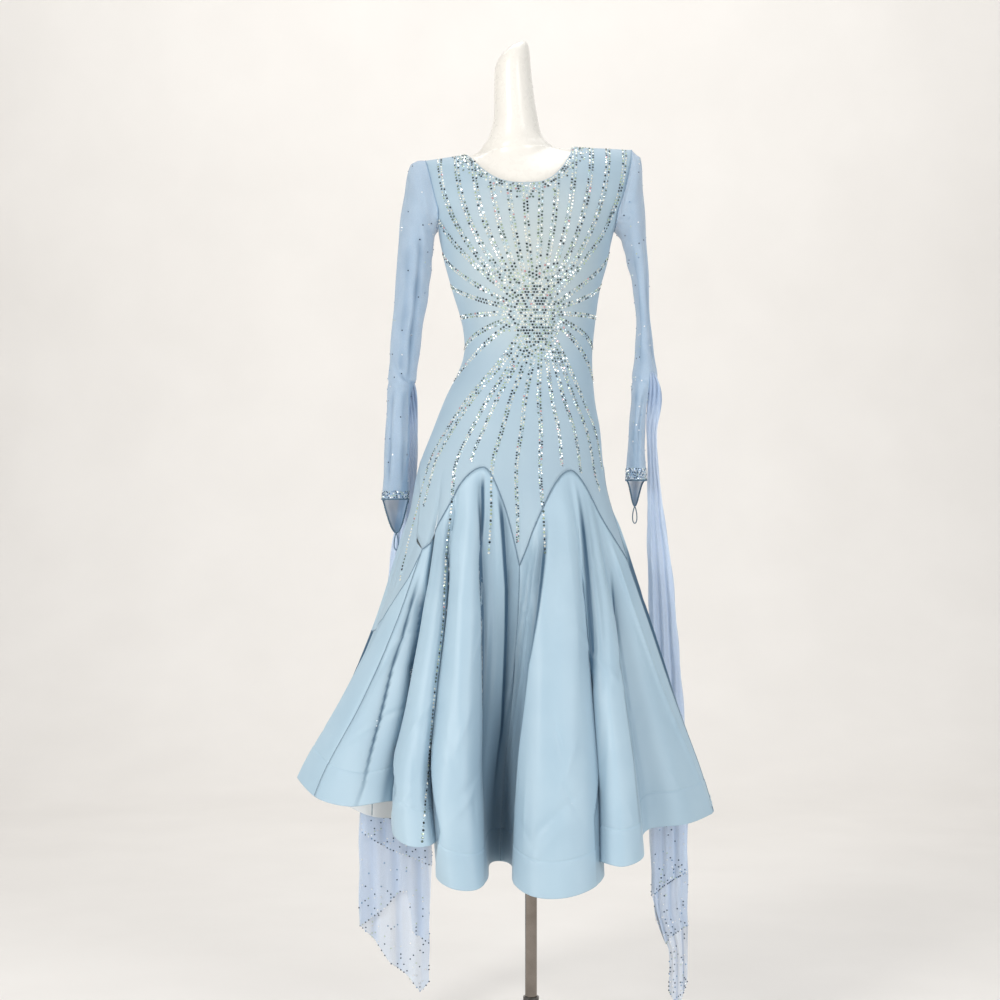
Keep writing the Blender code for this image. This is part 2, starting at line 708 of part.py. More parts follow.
def form_ring(height):
    """One ring of the form's torso, inside the dress. On the shoulders it keeps the neck's depth."""
    cap = max(0.0, (height - CAP_START) / CAP_LENGTH) * math.pi / 2
    hip = max(0.0, (HIP_TAPER_START - height) / HIP_TAPER_LENGTH)
    level = CAP_START + (SHOULDER_LEVEL - CAP_START) * math.sin(cap) if cap else height
    centre, half, front, back = curve_through(SECTIONS, level)
    inset = CLOTH_WALL + FORM_CLEARANCE + HIP_TAPER * hip**HIP_TAPER_POWER
    side = inset + SHOULDER_INSET * min(max((height - INSET_START) / INSET_LENGTH, 0.0), 1.0) ** INSET_POWER
    ring = []
    for k in range(FORM_COLUMNS):
        turn = 2 * math.pi * k / FORM_COLUMNS
        x = centre + (half - side) * math.sin(turn)
        depth = ((front if math.cos(turn) > 0 else back) - inset) * abs(math.cos(turn))
        z = height
        if cap:
            across = max(0.0, 1.0 - ((x - NECK_MIDDLE) / NECK_HALF_WIDTH) ** 2) ** 0.5
            neck = across * (NECK_FRONT if math.cos(turn) > 0 else NECK_BACK)
            shoulder = (CAP_DEPTH - inset) * math.cos(cap) * abs(math.cos(turn))
            depth = (shoulder**NECK_BLEND + neck**NECK_BLEND) ** (1 / NECK_BLEND)
            z = CAP_START + (shoulder_top(x) - CLOTH_WALL - SHOULDER_SEAT_GAP - CAP_START) * math.sin(cap)
        ring.append((x, -math.copysign(depth, math.cos(turn)), z))
    return ring


def neck_ring(index, shoulder_ring):
    """One ring of the neck. The first follow the columns of the shoulder ring below, the next grow even."""
    height, centre, half, front, back = NECK_RINGS[index]
    even = min((index + NECK_FIRST_SHARE) / NECK_EVEN_RINGS, 1.0)
    lift = max(0.0, height - NECK_SLANT_START) / (NECK_RINGS[-1][0] - NECK_SLANT_START) * NECK_TOP_SLANT
    ring = []
    for k in range(FORM_COLUMNS):
        turn = 2 * math.pi * k / FORM_COLUMNS
        below = math.asin(min(max((shoulder_ring[k][0] - centre) / half, -1.0), 1.0))
        if math.cos(turn) < -1e-9:
            below = math.pi - below
        elif k > FORM_COLUMNS / 2:
            below += 2 * math.pi
        turn = turn * even + below * (1.0 - even)
        depth = front if math.cos(turn) > 0 else back
        x = centre + half * math.sin(turn)
        z = height + lift * (x - centre - NECK_SLANT_MIDDLE)
        if index == 0:
            z = shoulder_top(x) - CLOTH_WALL - SHOULDER_SEAT_GAP
        ring.append((x, -depth * math.cos(turn), z))
    return ring


def build_form(mat):
    """The form: hips to shoulders inside the dress, then the neck with its slanted round top."""
    heights = [POLE_TOP + (CAP_START - POLE_TOP) * i / BODY_RINGS for i in range(BODY_RINGS)]
    heights += [CAP_START + CAP_LENGTH * share for share in CAP_RING_SHARES]
    rings = [form_ring(height) for height in heights]
    shoulder_ring = rings[-1]
    rings += [neck_ring(index, shoulder_ring) for index in range(len(NECK_RINGS))]
    points = [point for ring in rings for point in ring]
    count = FORM_COLUMNS
    faces = []
    for r in range(len(rings) - 1):
        for c in range(count):
            a, b = r * count + c, r * count + (c + 1) % count
            faces += [(a, b, b + count), (a, b + count, a + count)]
    for ring, start in ((rings[0], 0), (rings[-1], len(points) - count)):
        points.append(tuple(np.mean(ring, axis=0)))
        middle = len(points) - 1
        for c in range(count):
            face = (start + c, start + (c + 1) % count, middle)
            faces.append(face[::-1] if start == 0 else face)
    return solid("form_torso", points, faces, mat)


def turned(name, profile, sides, mat):
    """A solid turned about the pole's axis, from (radius, height) steps that start and end on the axis."""
    points, faces = [(0.0, 0.0, profile[0][1])], []
    rings = profile[1:-1]
    for radius, height in rings:
        for k in range(sides):
            turn = 2 * math.pi * k / sides
            points.append((radius * math.cos(turn), radius * math.sin(turn), height))
    points.append((0.0, 0.0, profile[-1][1]))
    last = len(points) - 1
    for k in range(sides):
        beside = (k + 1) % sides
        faces.append((0, 1 + beside, 1 + k))
        faces.append((last, last - sides + k, last - sides + beside))
        for r in range(len(rings) - 1):
            a, b = 1 + r * sides + k, 1 + r * sides + beside
            faces += [(a, b, b + sides), (a, b + sides, a + sides)]
    return solid(name, points, faces, mat)


def tube(name, inner, outer, low, high, sides, mat):
    """A plain ring about the pole's axis."""
    rings = ((outer, low), (outer, high), (inner, high), (inner, low))
    points, faces = [], []
    for radius, height in rings:
        for k in range(sides):
            turn = 2 * math.pi * k / sides
            points.append((radius * math.cos(turn), radius * math.sin(turn), height))
    for r in range(4):
        for k in range(sides):
            a, b = r * sides + k, r * sides + (k + 1) % sides
            c, d = ((r + 1) % 4) * sides + k, ((r + 1) % 4) * sides + (k + 1) % sides
            faces += [(a, b, d), (a, d, c)]
    return solid(name, points, faces, mat)


def build_stand(steel):
    """The pole from the base plate to the form, its joint collar and the round base plate."""
    turned("base_plate", [
        (0.0, 0.0), (BASE_RADIUS, 0.0), (BASE_RADIUS, BASE_THICKNESS - BASE_EDGE),
        (BASE_RADIUS - BASE_EDGE, BASE_THICKNESS), (0.0, BASE_THICKNESS)], BASE_SIDES, steel)
    turned("pole", [
        (0.0, BASE_THICKNESS + FIT_GAP), (POLE_RADIUS, BASE_THICKNESS + FIT_GAP),
        (POLE_RADIUS, POLE_TOP - FIT_GAP), (0.0, POLE_TOP - FIT_GAP)], POLE_SIDES, steel)
    tube("pole_collar", POLE_RADIUS + FIT_GAP, COLLAR_RADIUS, COLLAR_LOW, COLLAR_HIGH, POLE_SIDES, steel)


def main():
    clear_scene()
    satin = material("satin", (0.52, 0.68, 0.76), 0.35)
    knit = material("bodice_knit", (0.50, 0.64, 0.72), 0.6)
    mesh = material("sleeve_mesh", (0.46, 0.58, 0.76), 0.7)
    gloss = material("form_gloss", (0.93, 0.92, 0.88), 0.12)
    steel = material("steel", (0.62, 0.60, 0.57), 0.22, 1.0)
    trim = material("loop_elastic", (0.22, 0.36, 0.46), 0.6)
    build_stand(steel)
    build_form(gloss)
    build_panel("bodice_front", FRONT_COLUMNS, FRONT_NECK, 0.0, knit)
    build_panel("bodice_back", BACK_COLUMNS, BACK_NECK, 180.0, knit)
    build_godets(satin)
    for side in ("left", "right"):
        sleeve = build_sleeve(side, mesh)
        build_float(side, mesh)
        low = min(sleeve.data.vertices, key=lambda vertex: vertex.co.z).co
        build_loop(side, (low.x, low.y, low.z), trim)


main()
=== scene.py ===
"""Looks for the ballroom dance dress on its dress form: cloth, mesh, stones, form and stand.

Metres, +Z up, the dress faces -Y. Left and right are the wearer's. The surfaces repeat the CAD part's
own functions and tables, at a finer step and with the small folds added.
"""
import itertools
import math
import random

import bpy
import numpy as np
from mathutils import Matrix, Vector

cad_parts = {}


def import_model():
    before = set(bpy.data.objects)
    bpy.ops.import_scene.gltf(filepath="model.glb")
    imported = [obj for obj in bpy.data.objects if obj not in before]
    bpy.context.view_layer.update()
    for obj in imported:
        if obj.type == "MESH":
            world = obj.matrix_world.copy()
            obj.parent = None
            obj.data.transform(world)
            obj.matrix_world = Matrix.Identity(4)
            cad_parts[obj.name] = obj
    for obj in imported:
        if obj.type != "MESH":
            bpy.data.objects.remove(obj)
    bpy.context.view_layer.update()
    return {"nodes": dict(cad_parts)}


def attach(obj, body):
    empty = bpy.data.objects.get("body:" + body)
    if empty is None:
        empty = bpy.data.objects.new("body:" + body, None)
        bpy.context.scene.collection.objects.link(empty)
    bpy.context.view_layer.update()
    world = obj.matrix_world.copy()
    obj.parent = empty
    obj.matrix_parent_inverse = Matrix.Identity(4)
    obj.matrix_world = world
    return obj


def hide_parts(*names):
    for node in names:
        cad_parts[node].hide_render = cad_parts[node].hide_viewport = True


# The dress's body, as in the CAD part
ARMPIT = 1.382
CAP_START = 1.400
CAP_LENGTH = 0.140
RIDGE = CAP_START + CAP_LENGTH
CAP_DEPTH = 0.098
SHOULDER_LEVEL = 1.5255
SHOULDER_TILT = 0.050
SHOULDER_SLOPE = 0.095
SHOULDER_ROUND = 0.040
ARMHOLE_TOP_ANGLE = 65.0
ARMHOLE_CURVE = 0.034
ARMHOLE_CURVE_POWER = 0.8
FOLD_START = 0.985
FOLD_GROWTH = 1.25
SEAM_ARCH = 1.9
UPPER_SHARES = (0.0, 0.08, 0.19, 0.34, 0.50, 0.66, 0.82, 0.93, 1.0)
SIDE_HALF_GAP = 0.00015
WIDEST_LEVEL = 0.990
NECK_COLUMNS = 40
SIDE_COLUMNS = 22
CHEST_EASE = 0.022
CHEST_PASSES = 60
PANEL_ROWS = 60
HIP_STEPS = 90
LAP_WIDTH = 0.004
NORMAL_ANGLE_STEP = 0.15
NORMAL_HEIGHT_STEP = 0.0008
TINY = 1e-9

# Cloth, its stitching and piping
CLOTH_THICKNESS = 0.0006
HEM_BAND = 0.056
HEM_BAND_STEP = 0.0008
HEM_STITCH_WIDTH = 0.0016
HEM_STITCH_DEPTH = 0.0007
BAND_RAISE = 0.0006
SEAM_DIP_WIDTH = 0.003
SEAM_FADE = 0.02
SCALE_STEP = 0.2
PIPING_RADIUS = 0.0009
TUBE_ROUNDING = 2
SEAM_STEPS = 800
SEAM_RAISE = 0.0001
SIDE_SEAM_STEPS = 400
SIDE_SEAM_SINK = 0.0002
JOINT_STEPS = 90
JOINT_END = 0.002
JOINT_SINK = 0.0003

# Materials: the stretched chest, the relief of threads, and how closely the net covers
STRETCH_PLACE = (0.0, -0.10, 1.34)
STRETCH_SIZE = (0.15, 0.12, 0.22)
GRAIN = 0.05
THREAD_DEPTH = 0.00005
NET_SCALE = 900.0
THREAD_COVER = 0.60
GATHERED_COVER = 0.92
DRAWN_LINES = (420.0, 420.0, 3.0)

# Body and skirt cone sections: height, centre, half width, front depth, back depth
SECTIONS = [
    (0.26, -0.050, 0.300, 0.235, 0.250),
    (0.45, -0.050, 0.285, 0.215, 0.230),
    (0.60, -0.040, 0.245, 0.185, 0.198),
    (0.72, -0.0325, 0.215, 0.155, 0.170),
    (0.83, -0.0305, 0.190, 0.130, 0.148),
    (0.90, -0.0310, 0.174, 0.115, 0.132),
    (0.9775, -0.0340, 0.158, 0.103, 0.118),
    (1.0455, -0.0247, 0.142, 0.096, 0.110),
    (1.0965, -0.0191, 0.1275, 0.090, 0.098),
    (1.1645, -0.0060, 0.1100, 0.084, 0.082),
    (1.2155, -0.0038, 0.1115, 0.090, 0.082),
    (1.2835, -0.0085, 0.1258, 0.108, 0.088),
    (1.3300, -0.0085, 0.1385, 0.112, 0.094),
    (1.3820, -0.0090, 0.1500, 0.103, 0.097),
    (1.4100, -0.0050, 0.1660, 0.096, 0.096),
    (1.4400, -0.0030, 0.1780, 0.092, 0.092),
    (1.4800, -0.0025, 0.1880, 0.090, 0.090),
    (1.5200, -0.0040, 0.1930, 0.090, 0.090),
]

# Godet seam: angle from the centre front, height of an arch's top or of the point between two godets
SEAM = [
    (-90.0, 0.990),
    (-49.0, 0.845),
    (-17.2, 0.981),
    (4.2, 0.819),
    (38.5, 0.976),
    (64.5, 0.826),
    (90.0, 0.982),
    (122.0, 0.830),
    (148.4, 0.985),
    (180.0, 0.830),
    (211.6, 0.985),
    (238.0, 0.834),
    (270.0, 0.990),
]
ARCH_TOPS = (-90.0, -17.2, 38.5, 90.0, 148.4, 211.6, 270.0)

# Neckline: corner angles on the panel, angle of the lowest point, height there, curve powers
FRONT_NECK = {"right": -45.84, "left": 31.64, "low": 0.0, "height": 1.4392, "power": 2.7, "round": 2.1}
BACK_NECK = {"right": 225.8, "left": 148.4, "low": 185.0, "height": 1.4900, "power": 2.4, "round": 1.3}

# Hem: angle on the skirt, x, y, height
HEM = [
    (-53.0, -0.396, -0.004, 0.454),
    (-48.5, -0.356, -0.078, 0.431),
    (-44.5, -0.300, -0.122, 0.424),
    (-40.5, -0.246, -0.142, 0.434),
    (-37.0, -0.222, -0.118, 0.432),
    (-34.0, -0.210, -0.090, 0.415),
    (-31.0, -0.226, -0.165, 0.392),
    (-27.5, -0.202, -0.215, 0.377),
    (-23.5, -0.166, -0.218, 0.376),
    (-20.0, -0.143, -0.165, 0.385),
    (-17.2, -0.142, -0.120, 0.365),
    (-14.2, -0.154, -0.185, 0.326),
    (-10.5, -0.130, -0.234, 0.312),
    (-6.5, -0.092, -0.234, 0.309),
    (-3.0, -0.073, -0.195, 0.319),
    (0.5, -0.070, -0.130, 0.331),
    (4.2, -0.052, -0.085, 0.328),
    (8.0, -0.033, -0.140, 0.330),
    (12.0, -0.029, -0.215, 0.315),
    (17.0, 0.000, -0.262, 0.304),
    (23.0, 0.046, -0.270, 0.303),
    (29.0, 0.090, -0.245, 0.312),
    (33.5, 0.114, -0.195, 0.325),
    (37.0, 0.106, -0.165, 0.340),
    (41.0, 0.108, -0.215, 0.350),
    (45.0, 0.142, -0.240, 0.347),
    (49.0, 0.176, -0.205, 0.356),
    (52.5, 0.178, -0.140, 0.375),
    (56.0, 0.196, -0.125, 0.389),
    (60.0, 0.256, -0.095, 0.391),
    (64.5, 0.309, -0.010, 0.398),
    (71.0, 0.285, 0.034, 0.401),
    (79.0, 0.215, 0.046, 0.403),
    (87.0, 0.182, 0.082, 0.399),
    (95.0, 0.212, 0.150, 0.386),
    (103.0, 0.243, 0.202, 0.376),
    (110.0, 0.200, 0.206, 0.370),
    (116.0, 0.160, 0.180, 0.365),
    (122.0, 0.148, 0.232, 0.356),
    (131.0, 0.108, 0.276, 0.350),
    (140.0, 0.062, 0.238, 0.350),
    (148.4, 0.030, 0.280, 0.345),
    (158.0, -0.015, 0.298, 0.340),
    (168.0, -0.045, 0.238, 0.340),
    (180.0, -0.064, 0.224, 0.340),
    (190.0, -0.090, 0.284, 0.340),
    (201.0, -0.132, 0.288, 0.345),
    (211.6, -0.158, 0.222, 0.350),
    (221.0, -0.180, 0.152, 0.356),
    (230.0, -0.228, 0.130, 0.364),
    (238.0, -0.278, 0.116, 0.370),
    (247.0, -0.324, 0.146, 0.384),
    (257.0, -0.352, 0.112, 0.402),
    (267.0, -0.340, 0.064, 0.418),
    (278.0, -0.372, 0.062, 0.436),
    (292.0, -0.384, 0.030, 0.448),
    (307.0, -0.396, -0.004, 0.454),
]

# Lines of the folds down the skirt: share of the fall, then the angles there of the folds at FOLD_MARKS
FOLD_MARKS = (-75.0, -53.0, -34.0, -17.2, -1.5, 4.2, 60.0)
FOLD_LINES = [
    (0.20, -75.0, -51.0, -46.5, -33.5, -18.5, 4.2, 60.0),
    (0.33, -75.0, -51.0, -45.0, -30.0, -15.4, 4.2, 60.0),
    (0.60, -75.0, -52.0, -41.5, -26.0, -8.8, 4.2, 60.0),
    (0.82, -75.0, -52.5, -37.5, -22.5, -4.0, 4.2, 60.0),
    (1.00, -75.0, -53.0, -34.0, -17.2, -1.5, 4.2, 60.0),
]

# Lower edge of the bodice cloth at the right side, where it runs down in a point: angle, height
SIDE_POINT = [(238.0, 0.834), (243.0, 0.750), (255.0, 0.706), (270.0, 0.698), (300.0, 0.708), (307.0, 0.727),
              (309.0, 0.752), (310.5, 0.800), (311.0, 0.845)]
SIDE_POINT_CLEAR = 0.001
SIDE_POINT_ROWS = 60

# Godets, the seams at their first sides, their angles, columns and rows, with rows near the hem
GODETS = ("front_right", "front_left", "side_left", "back_left", "back_right", "side_right")
GODET_JOINTS = ("front_right", "front_middle", "front_left", "back_left", "back_middle", "back_right")
GODET_MARKS = (-49.0, 4.2, 64.5, 122.0, 180.0, 238.0, 311.0)
GODET_COLUMN = 0.32
GODET_ROWS = 86
GODET_ROW_POWER = 0.92
HEM_ROWS = (0.062, 0.0595, 0.058, 0.057, 0.056, 0.055, 0.054, 0.052, 0.047, 0.040, 0.032, 0.024, 0.016,
            0.009, 0.004, 0.0015, 0.0)

# Creases of the skirt: three places (angle, height) on the line, rise (a trough is negative), half width,
# and the raised side of a knife fold: 1 towards the larger angles, -1 the other way, 0 for a soft crease
CREASES = [
    (-37.0, 0.918, -27.0, 0.700, -14.0, 0.400, 0.0072, 0.040, 1),
    (-16.0, 0.975, -15.5, 0.910, -15.5, 0.800, 0.0036, 0.018, 1),
    (-21.0, 0.960, -12.0, 0.690, -4.5, 0.440, 0.0054, 0.026, -1),
    (-8.5, 0.960, -2.5, 0.780, 1.0, 0.550, 0.0044, 0.022, -1),
    (-47.0, 0.800, -43.5, 0.650, -31.5, 0.460, 0.0056, 0.034, 1),
    (-48.0, 0.810, -47.0, 0.650, -43.5, 0.460, 0.0038, 0.018, 1),
    (-48.0, 0.720, -48.7, 0.640, -49.0, 0.540, -0.0030, 0.006, 0),
    (-34.0, 0.900, -30.0, 0.760, -22.0, 0.520, 0.0022, 0.008, 0),
    (-26.0, 0.960, -22.0, 0.760, -12.0, 0.480, 0.0020, 0.008, 0),
    (-11.5, 0.960, -8.0, 0.800, -4.0, 0.560, -0.0022, 0.006, 0),
    (10.0, 0.835, 5.5, 0.710, 2.5, 0.560, 0.0034, 0.005, 0),
    (16.0, 0.880, 8.5, 0.720, 6.0, 0.560, 0.0030, 0.005, 0),
    (20.0, 0.915, 12.5, 0.660, 10.5, 0.400, 0.0058, 0.032, 1),
    (27.0, 0.960, 21.0, 0.760, 19.0, 0.480, -0.0014, 0.014, 0),
    (33.0, 0.972, 30.0, 0.760, 25.0, 0.500, 0.0016, 0.012, 0),
    (41.0, 0.965, 40.5, 0.680, 30.5, 0.420, 0.0036, 0.024, -1),
    (47.0, 0.950, 46.5, 0.760, 41.0, 0.450, -0.0020, 0.007, 0),
    (56.0, 0.815, 49.5, 0.660, 48.5, 0.460, 0.0036, 0.024, -1),
    (53.0, 0.900, 53.0, 0.760, 54.0, 0.560, -0.0022, 0.006, 0),
    (58.5, 0.876, 61.0, 0.690, 63.5, 0.420, 0.0040, 0.004, 0),
    (70.0, 0.950, 66.5, 0.820, 67.0, 0.560, 0.0040, 0.009, 1),
    (74.0, 0.920, 80.0, 0.740, 84.0, 0.480, 0.0050, 0.013, -1),
    (98.0, 0.950, 103.0, 0.760, 107.0, 0.480, 0.0030, 0.010, 0),
    (110.0, 0.900, 114.0, 0.740, 117.0, 0.460, 0.0050, 0.013, 1),
    (133.0, 0.930, 138.0, 0.760, 141.0, 0.470, 0.0050, 0.014, -1),
    (147.0, 0.970, 149.0, 0.800, 152.0, 0.480, -0.0030, 0.008, 0),
    (163.0, 0.920, 166.0, 0.760, 170.0, 0.460, 0.0045, 0.012, 1),
    (190.0, 0.880, 186.0, 0.760, 182.0, 0.470, 0.0045, 0.012, -1),
    (200.0, 0.950, 197.0, 0.760, 196.0, 0.500, -0.0024, 0.009, 0),
    (213.0, 0.975, 213.0, 0.800, 213.0, 0.470, 0.0050, 0.013, 1),
    (229.0, 0.900, 225.0, 0.760, 222.0, 0.480, 0.0045, 0.012, -1),
    (249.0, 0.930, 257.0, 0.760, 262.0, 0.480, 0.0050, 0.014, 1),
    (276.0, 0.920, 282.0, 0.760, 286.0, 0.500, 0.0040, 0.012, -1),
    (297.0, 0.880, 299.0, 0.760, 301.0, 0.520, -0.0030, 0.009, 0),
]
KNIFE_EDGE = 0.0030
KNIFE_CREST = 0.0022
KNIFE_GAIN = 1.15
KNIFE_TROUGH = 0.50
KNIFE_TROUGH_WIDTH = 0.0055
# Painted shade in the skirt's folds: how far round the large folds reach, the depth that counts as full, the
# shade and dark line beside knife edges, the large folds' strength, and how it eases off near the hem
FOLD_SHADE_REACH = (-12.0, -8.0, -4.0, 4.0, 8.0, 12.0)
FOLD_SHADE_FULL = 0.13
KNIFE_SHADE = 0.42
KNIFE_SHADE_START = -0.0008
KNIFE_SHADOW_LINE = 0.0040
KNIFE_SHADOW_LINE_PLACE = -0.0024
FOLD_SHADE_STRENGTH = 0.70
HEM_SHADE_EASE = 0.55
HEM_SHADE_EASE_REACH = 0.055
CREASE_START_FADE = 0.18
CREASE_END = 1.30
CREASE_END_FADE = 0.5

# Crumples: heights from the lowest up, slant in radians, lengths, half widths, rise and its shares
CRUMPLE_SEED = 5
CRUMPLES = 130
CRUMPLE_LOW = 0.40
CRUMPLE_SPREAD = 0.42
CRUMPLE_CROWDING = 1.6
CRUMPLE_LEAN = 0.9
CRUMPLE_LENGTHS = (0.018, 0.050)
CRUMPLE_WIDTHS = (0.0028, 0.0065)
CRUMPLE_RISE = 0.0022
CRUMPLE_SHARES = (0.4, 1.0)

# Sleeves: outer x, outer height, inner x, inner height, half depth, y of the middle
SLEEVES = {
    "left": [
        (0.1800, 1.5120, 0.1450, 1.3780, 0.046, 0.000),
        (0.1868, 1.5050, 0.1530, 1.3680, 0.047, 0.000),
        (0.1885, 1.4820, 0.1580, 1.3520, 0.047, 0.000),
        (0.1915, 1.4380, 0.1630, 1.3300, 0.046, 0.001),
        (0.1955, 1.3800, 0.1700, 1.3040, 0.044, 0.002),
        (0.1998, 1.3070, 0.1765, 1.2650, 0.042, 0.004),
        (0.2028, 1.2340, 0.1794, 1.2160, 0.040, 0.006),
        (0.2085, 1.1850, 0.1765, 1.1750, 0.038, 0.007),
        (0.2150, 1.1400, 0.1730, 1.1400, 0.036, 0.008),
        (0.2095, 1.1240, 0.1720, 1.1260, 0.035, 0.008),
        (0.2020, 1.1050, 0.1710, 1.1060, 0.033, 0.008),
        (0.1955, 1.0700, 0.1690, 1.0700, 0.032, 0.009),
        (0.1945, 1.0180, 0.1649, 1.0180, 0.032, 0.010),
        (0.1965, 0.9600, 0.1620, 0.9600, 0.033, 0.010),
    ],
    "right": [
        (-0.1940, 1.5020, -0.1640, 1.3730, 0.046, 0.000),
        (-0.2055, 1.4940, -0.1655, 1.3600, 0.047, 0.000),
        (-0.2110, 1.4720, -0.1670, 1.3450, 0.047, 0.000),
        (-0.2180, 1.4300, -0.1690, 1.3230, 0.046, 0.001),
        (-0.2245, 1.3800, -0.1720, 1.2950, 0.045, 0.002),
        (-0.2290, 1.3100, -0.1770, 1.2600, 0.043, 0.004),
        (-0.2350, 1.2400, -0.1853, 1.2130, 0.041, 0.006),
        (-0.2400, 1.1780, -0.1913, 1.1620, 0.038, 0.007),
        (-0.2425, 1.1400, -0.1960, 1.1320, 0.036, 0.008),
        (-0.2435, 1.1250, -0.1995, 1.1200, 0.035, 0.008),
        (-0.2447, 1.1050, -0.2045, 1.1040, 0.033, 0.008),
        (-0.2480, 1.0420, -0.2066, 1.0420, 0.032, 0.009),
        (-0.2514, 0.9700, -0.2083, 0.9700, 0.032, 0.010),
        (-0.2533, 0.9280, -0.2090, 0.9280, 0.032, 0.010),
    ],
}
CUFF_POINT = {"left": 0.044, "right": 0.058}
CUFF_POINT_WIDTH = {"left": 7.0, "right": 2.6}
CUFF_POINT_START = 0.6875
CUFF_POINT_TURN = 0.75
# Fold depth of the sleeve net, on the point over the hand and in its folds, which closes the net and darkens
# it partly as painted shade
FLAP_GAIN = 1.6
FLAP_START = 0.55
FLAP_DEPTH = 0.9
SLEEVE_FOLD_FULL = 0.0052
SLEEVE_FOLD_START = 0.3
SLEEVE_FOLD_END = 0.2
RIPPLE_RISE = 0.0006
RIPPLE_ALONG = 52.0
RIPPLE_AROUND = 14.0
RIPPLE_START = 6.0
SLEEVE_COLUMNS = 96
SLEEVE_ROWS = 150
HEAD_ROWS = 10
HEAD_LEAD = 0.5
HEAD_LEAD_ROW = 6
ARMHOLE_SEAM_RADIUS = 0.0008
CUFF_EDGE_RADIUS = 0.0013

# Sleeve folds: turn round the sleeve (0.5 is the front), from and to share of its length, rise, half width
SLEEVE_FOLDS = {
    "left": [
        (0.16, 0.26, 0.10, 0.62, -0.0030, 0.030),
        (0.34, 0.18, 0.30, 0.66, 0.0020, 0.035),
        (0.20, 0.74, 0.24, 0.98, -0.0024, 0.030),
        (0.33, 0.70, 0.30, 0.98, 0.0018, 0.030),
        (0.72, 0.20, 0.66, 0.95, -0.0022, 0.040),
    ],
    "right": [
        (0.30, 0.16, 0.34, 0.64, -0.0034, 0.030),
        (0.20, 0.24, 0.24, 0.66, 0.0022, 0.035),
        (0.12, 0.55, 0.38, 0.68, -0.0026, 0.040),
        (0.17, 0.72, 0.15, 0.98, -0.0026, 0.028),
        (0.30, 0.72, 0.33, 0.98, 0.0018, 0.030),
        (0.70, 0.20, 0.66, 0.95, -0.0022, 0.040),
    ],
}

# Floats: height, x of the left edge seen from the front, x of the right edge, y, spacing of the layers
FLOATS = {
    "left": [
        (1.1420, 0.2010, 0.2060, -0.026, 0.0010),
        (1.1320, 0.2000, 0.2130, -0.024, 0.0025),
        (1.1150, 0.1985, 0.2195, -0.014, 0.0040),
        (1.0950, 0.1980, 0.2215, -0.002, 0.0045),
        (1.0700, 0.1975, 0.2190, 0.008, 0.0045),
        (1.0480, 0.1980, 0.2155, 0.016, 0.0045),
        (1.0250, 0.1985, 0.2155, 0.019, 0.0045),
        (0.9780, 0.2003, 0.2183, 0.022, 0.0045),
        (0.8900, 0.2003, 0.2300, 0.032, 0.0050),
        (0.8000, 0.2025, 0.2440, 0.046, 0.0060),
        (0.7000, 0.2070, 0.2540, 0.064, 0.0070),
        (0.6000, 0.2080, 0.2640, 0.084, 0.0080),
        (0.5000, 0.2090, 0.2720, 0.096, 0.0080),
        (0.4000, 0.2090, 0.2740, 0.100, 0.0080),
        (0.2900, 0.2120, 0.2750, 0.100, 0.0080),
        (0.2050, 0.2170, 0.2750, 0.100, 0.0080),
        (0.1650, 0.2300, 0.2755, 0.100, 0.0080),
        (0.1350, 0.2420, 0.2755, 0.100, 0.0080),
        (0.0300, 0.2430, 0.2760, 0.100, 0.0080),
    ],
    "right": [
        (1.1300, -0.2060, -0.1990, 0.008, 0.0020),
        (1.1100, -0.2090, -0.1950, 0.014, 0.0035),
        (1.0700, -0.2090, -0.1935, 0.022, 0.0045),
        (1.0000, -0.2130, -0.1955, 0.044, 0.0045),
        (0.9300, -0.2260, -0.1980, 0.064, 0.0050),
        (0.8600, -0.2390, -0.1990, 0.088, 0.0060),
        (0.8000, -0.2470, -0.2000, 0.106, 0.0060),
        (0.7000, -0.2650, -0.2000, 0.132, 0.0070),
        (0.6000, -0.2830, -0.1960, 0.154, 0.0080),
        (0.5000, -0.2960, -0.1860, 0.170, 0.0080),
        (0.4000, -0.3020, -0.1790, 0.178, 0.0080),
        (0.0300, -0.3020, -0.1760, 0.180, 0.0080),
    ],
}

# Lower edge of each float: layer, place across it from -1 to 1, height
FLOAT_HEMS = {
    "left": [
        ("back", -1.0, 0.085), ("back", -0.3, 0.045), ("back", 0.2, 0.038), ("back", 1.0, 0.068),
        ("front", -1.0, 0.182), ("front", 0.3, 0.162), ("front", 1.0, 0.148),
        ("over", -1.0, 0.278), ("over", 0.2, 0.256), ("over", 1.0, 0.236),
    ],
    "right": [
        ("back", -1.0, 0.162), ("back", -0.6, 0.138), ("back", -0.2, 0.098), ("back", 0.3, 0.076),
        ("back", 0.7, 0.044), ("back", 1.0, 0.066),
        ("front", -1.0, 0.164), ("front", -0.3, 0.196), ("front", 0.1, 0.226), ("front", 0.35, 0.226),
        ("front", 0.5, 0.152), ("front", 1.0, 0.132),
        ("over", -1.0, 0.334), ("over", -0.2, 0.304), ("over", 0.4, 0.290), ("over", 1.0, 0.274),
    ],
}
FLOAT_ROWS = 150
LAYER_COLUMNS = 22
LAYER_REACH = 0.95
FLOAT_TURNS = (-0.62, -0.5, -0.38)
TURN_REACH = 1.04
TURN_BULGE = 0.6
GATHER_DROP = 0.035
GATHER_LENGTH = 0.035
GATHER_RISE = 0.0028
GATHER_PLEATS = 9.0
GATHER_SLANT = 70.0
GATHER_COVER = 0.55
EDGE_WAVE = 0.0009
EDGE_WAVES = 61.0
EDGE_WAVE_START = 0.1

# Pleats of the floats: rise, turns across, from layer to layer and down
PLEATS = ((0.0022, 8.5, 1.7, 2.0), (0.0010, 19.0, 0.0, 5.0))
PLEAT_START = 0.25
# Pleat height at which the float's net is fully closed and darkened, partly as painted shade
PLEAT_FULL = 0.0060

# Finger loops
LOOP_POINTS = 40
LOOP_HALF_WIDTH = 0.0048
LOOP_HALF_HEIGHT = 0.0140
LOOP_TAPER = 0.25
LOOP_DROP = 0.0155
LOOP_THREAD = 0.0009

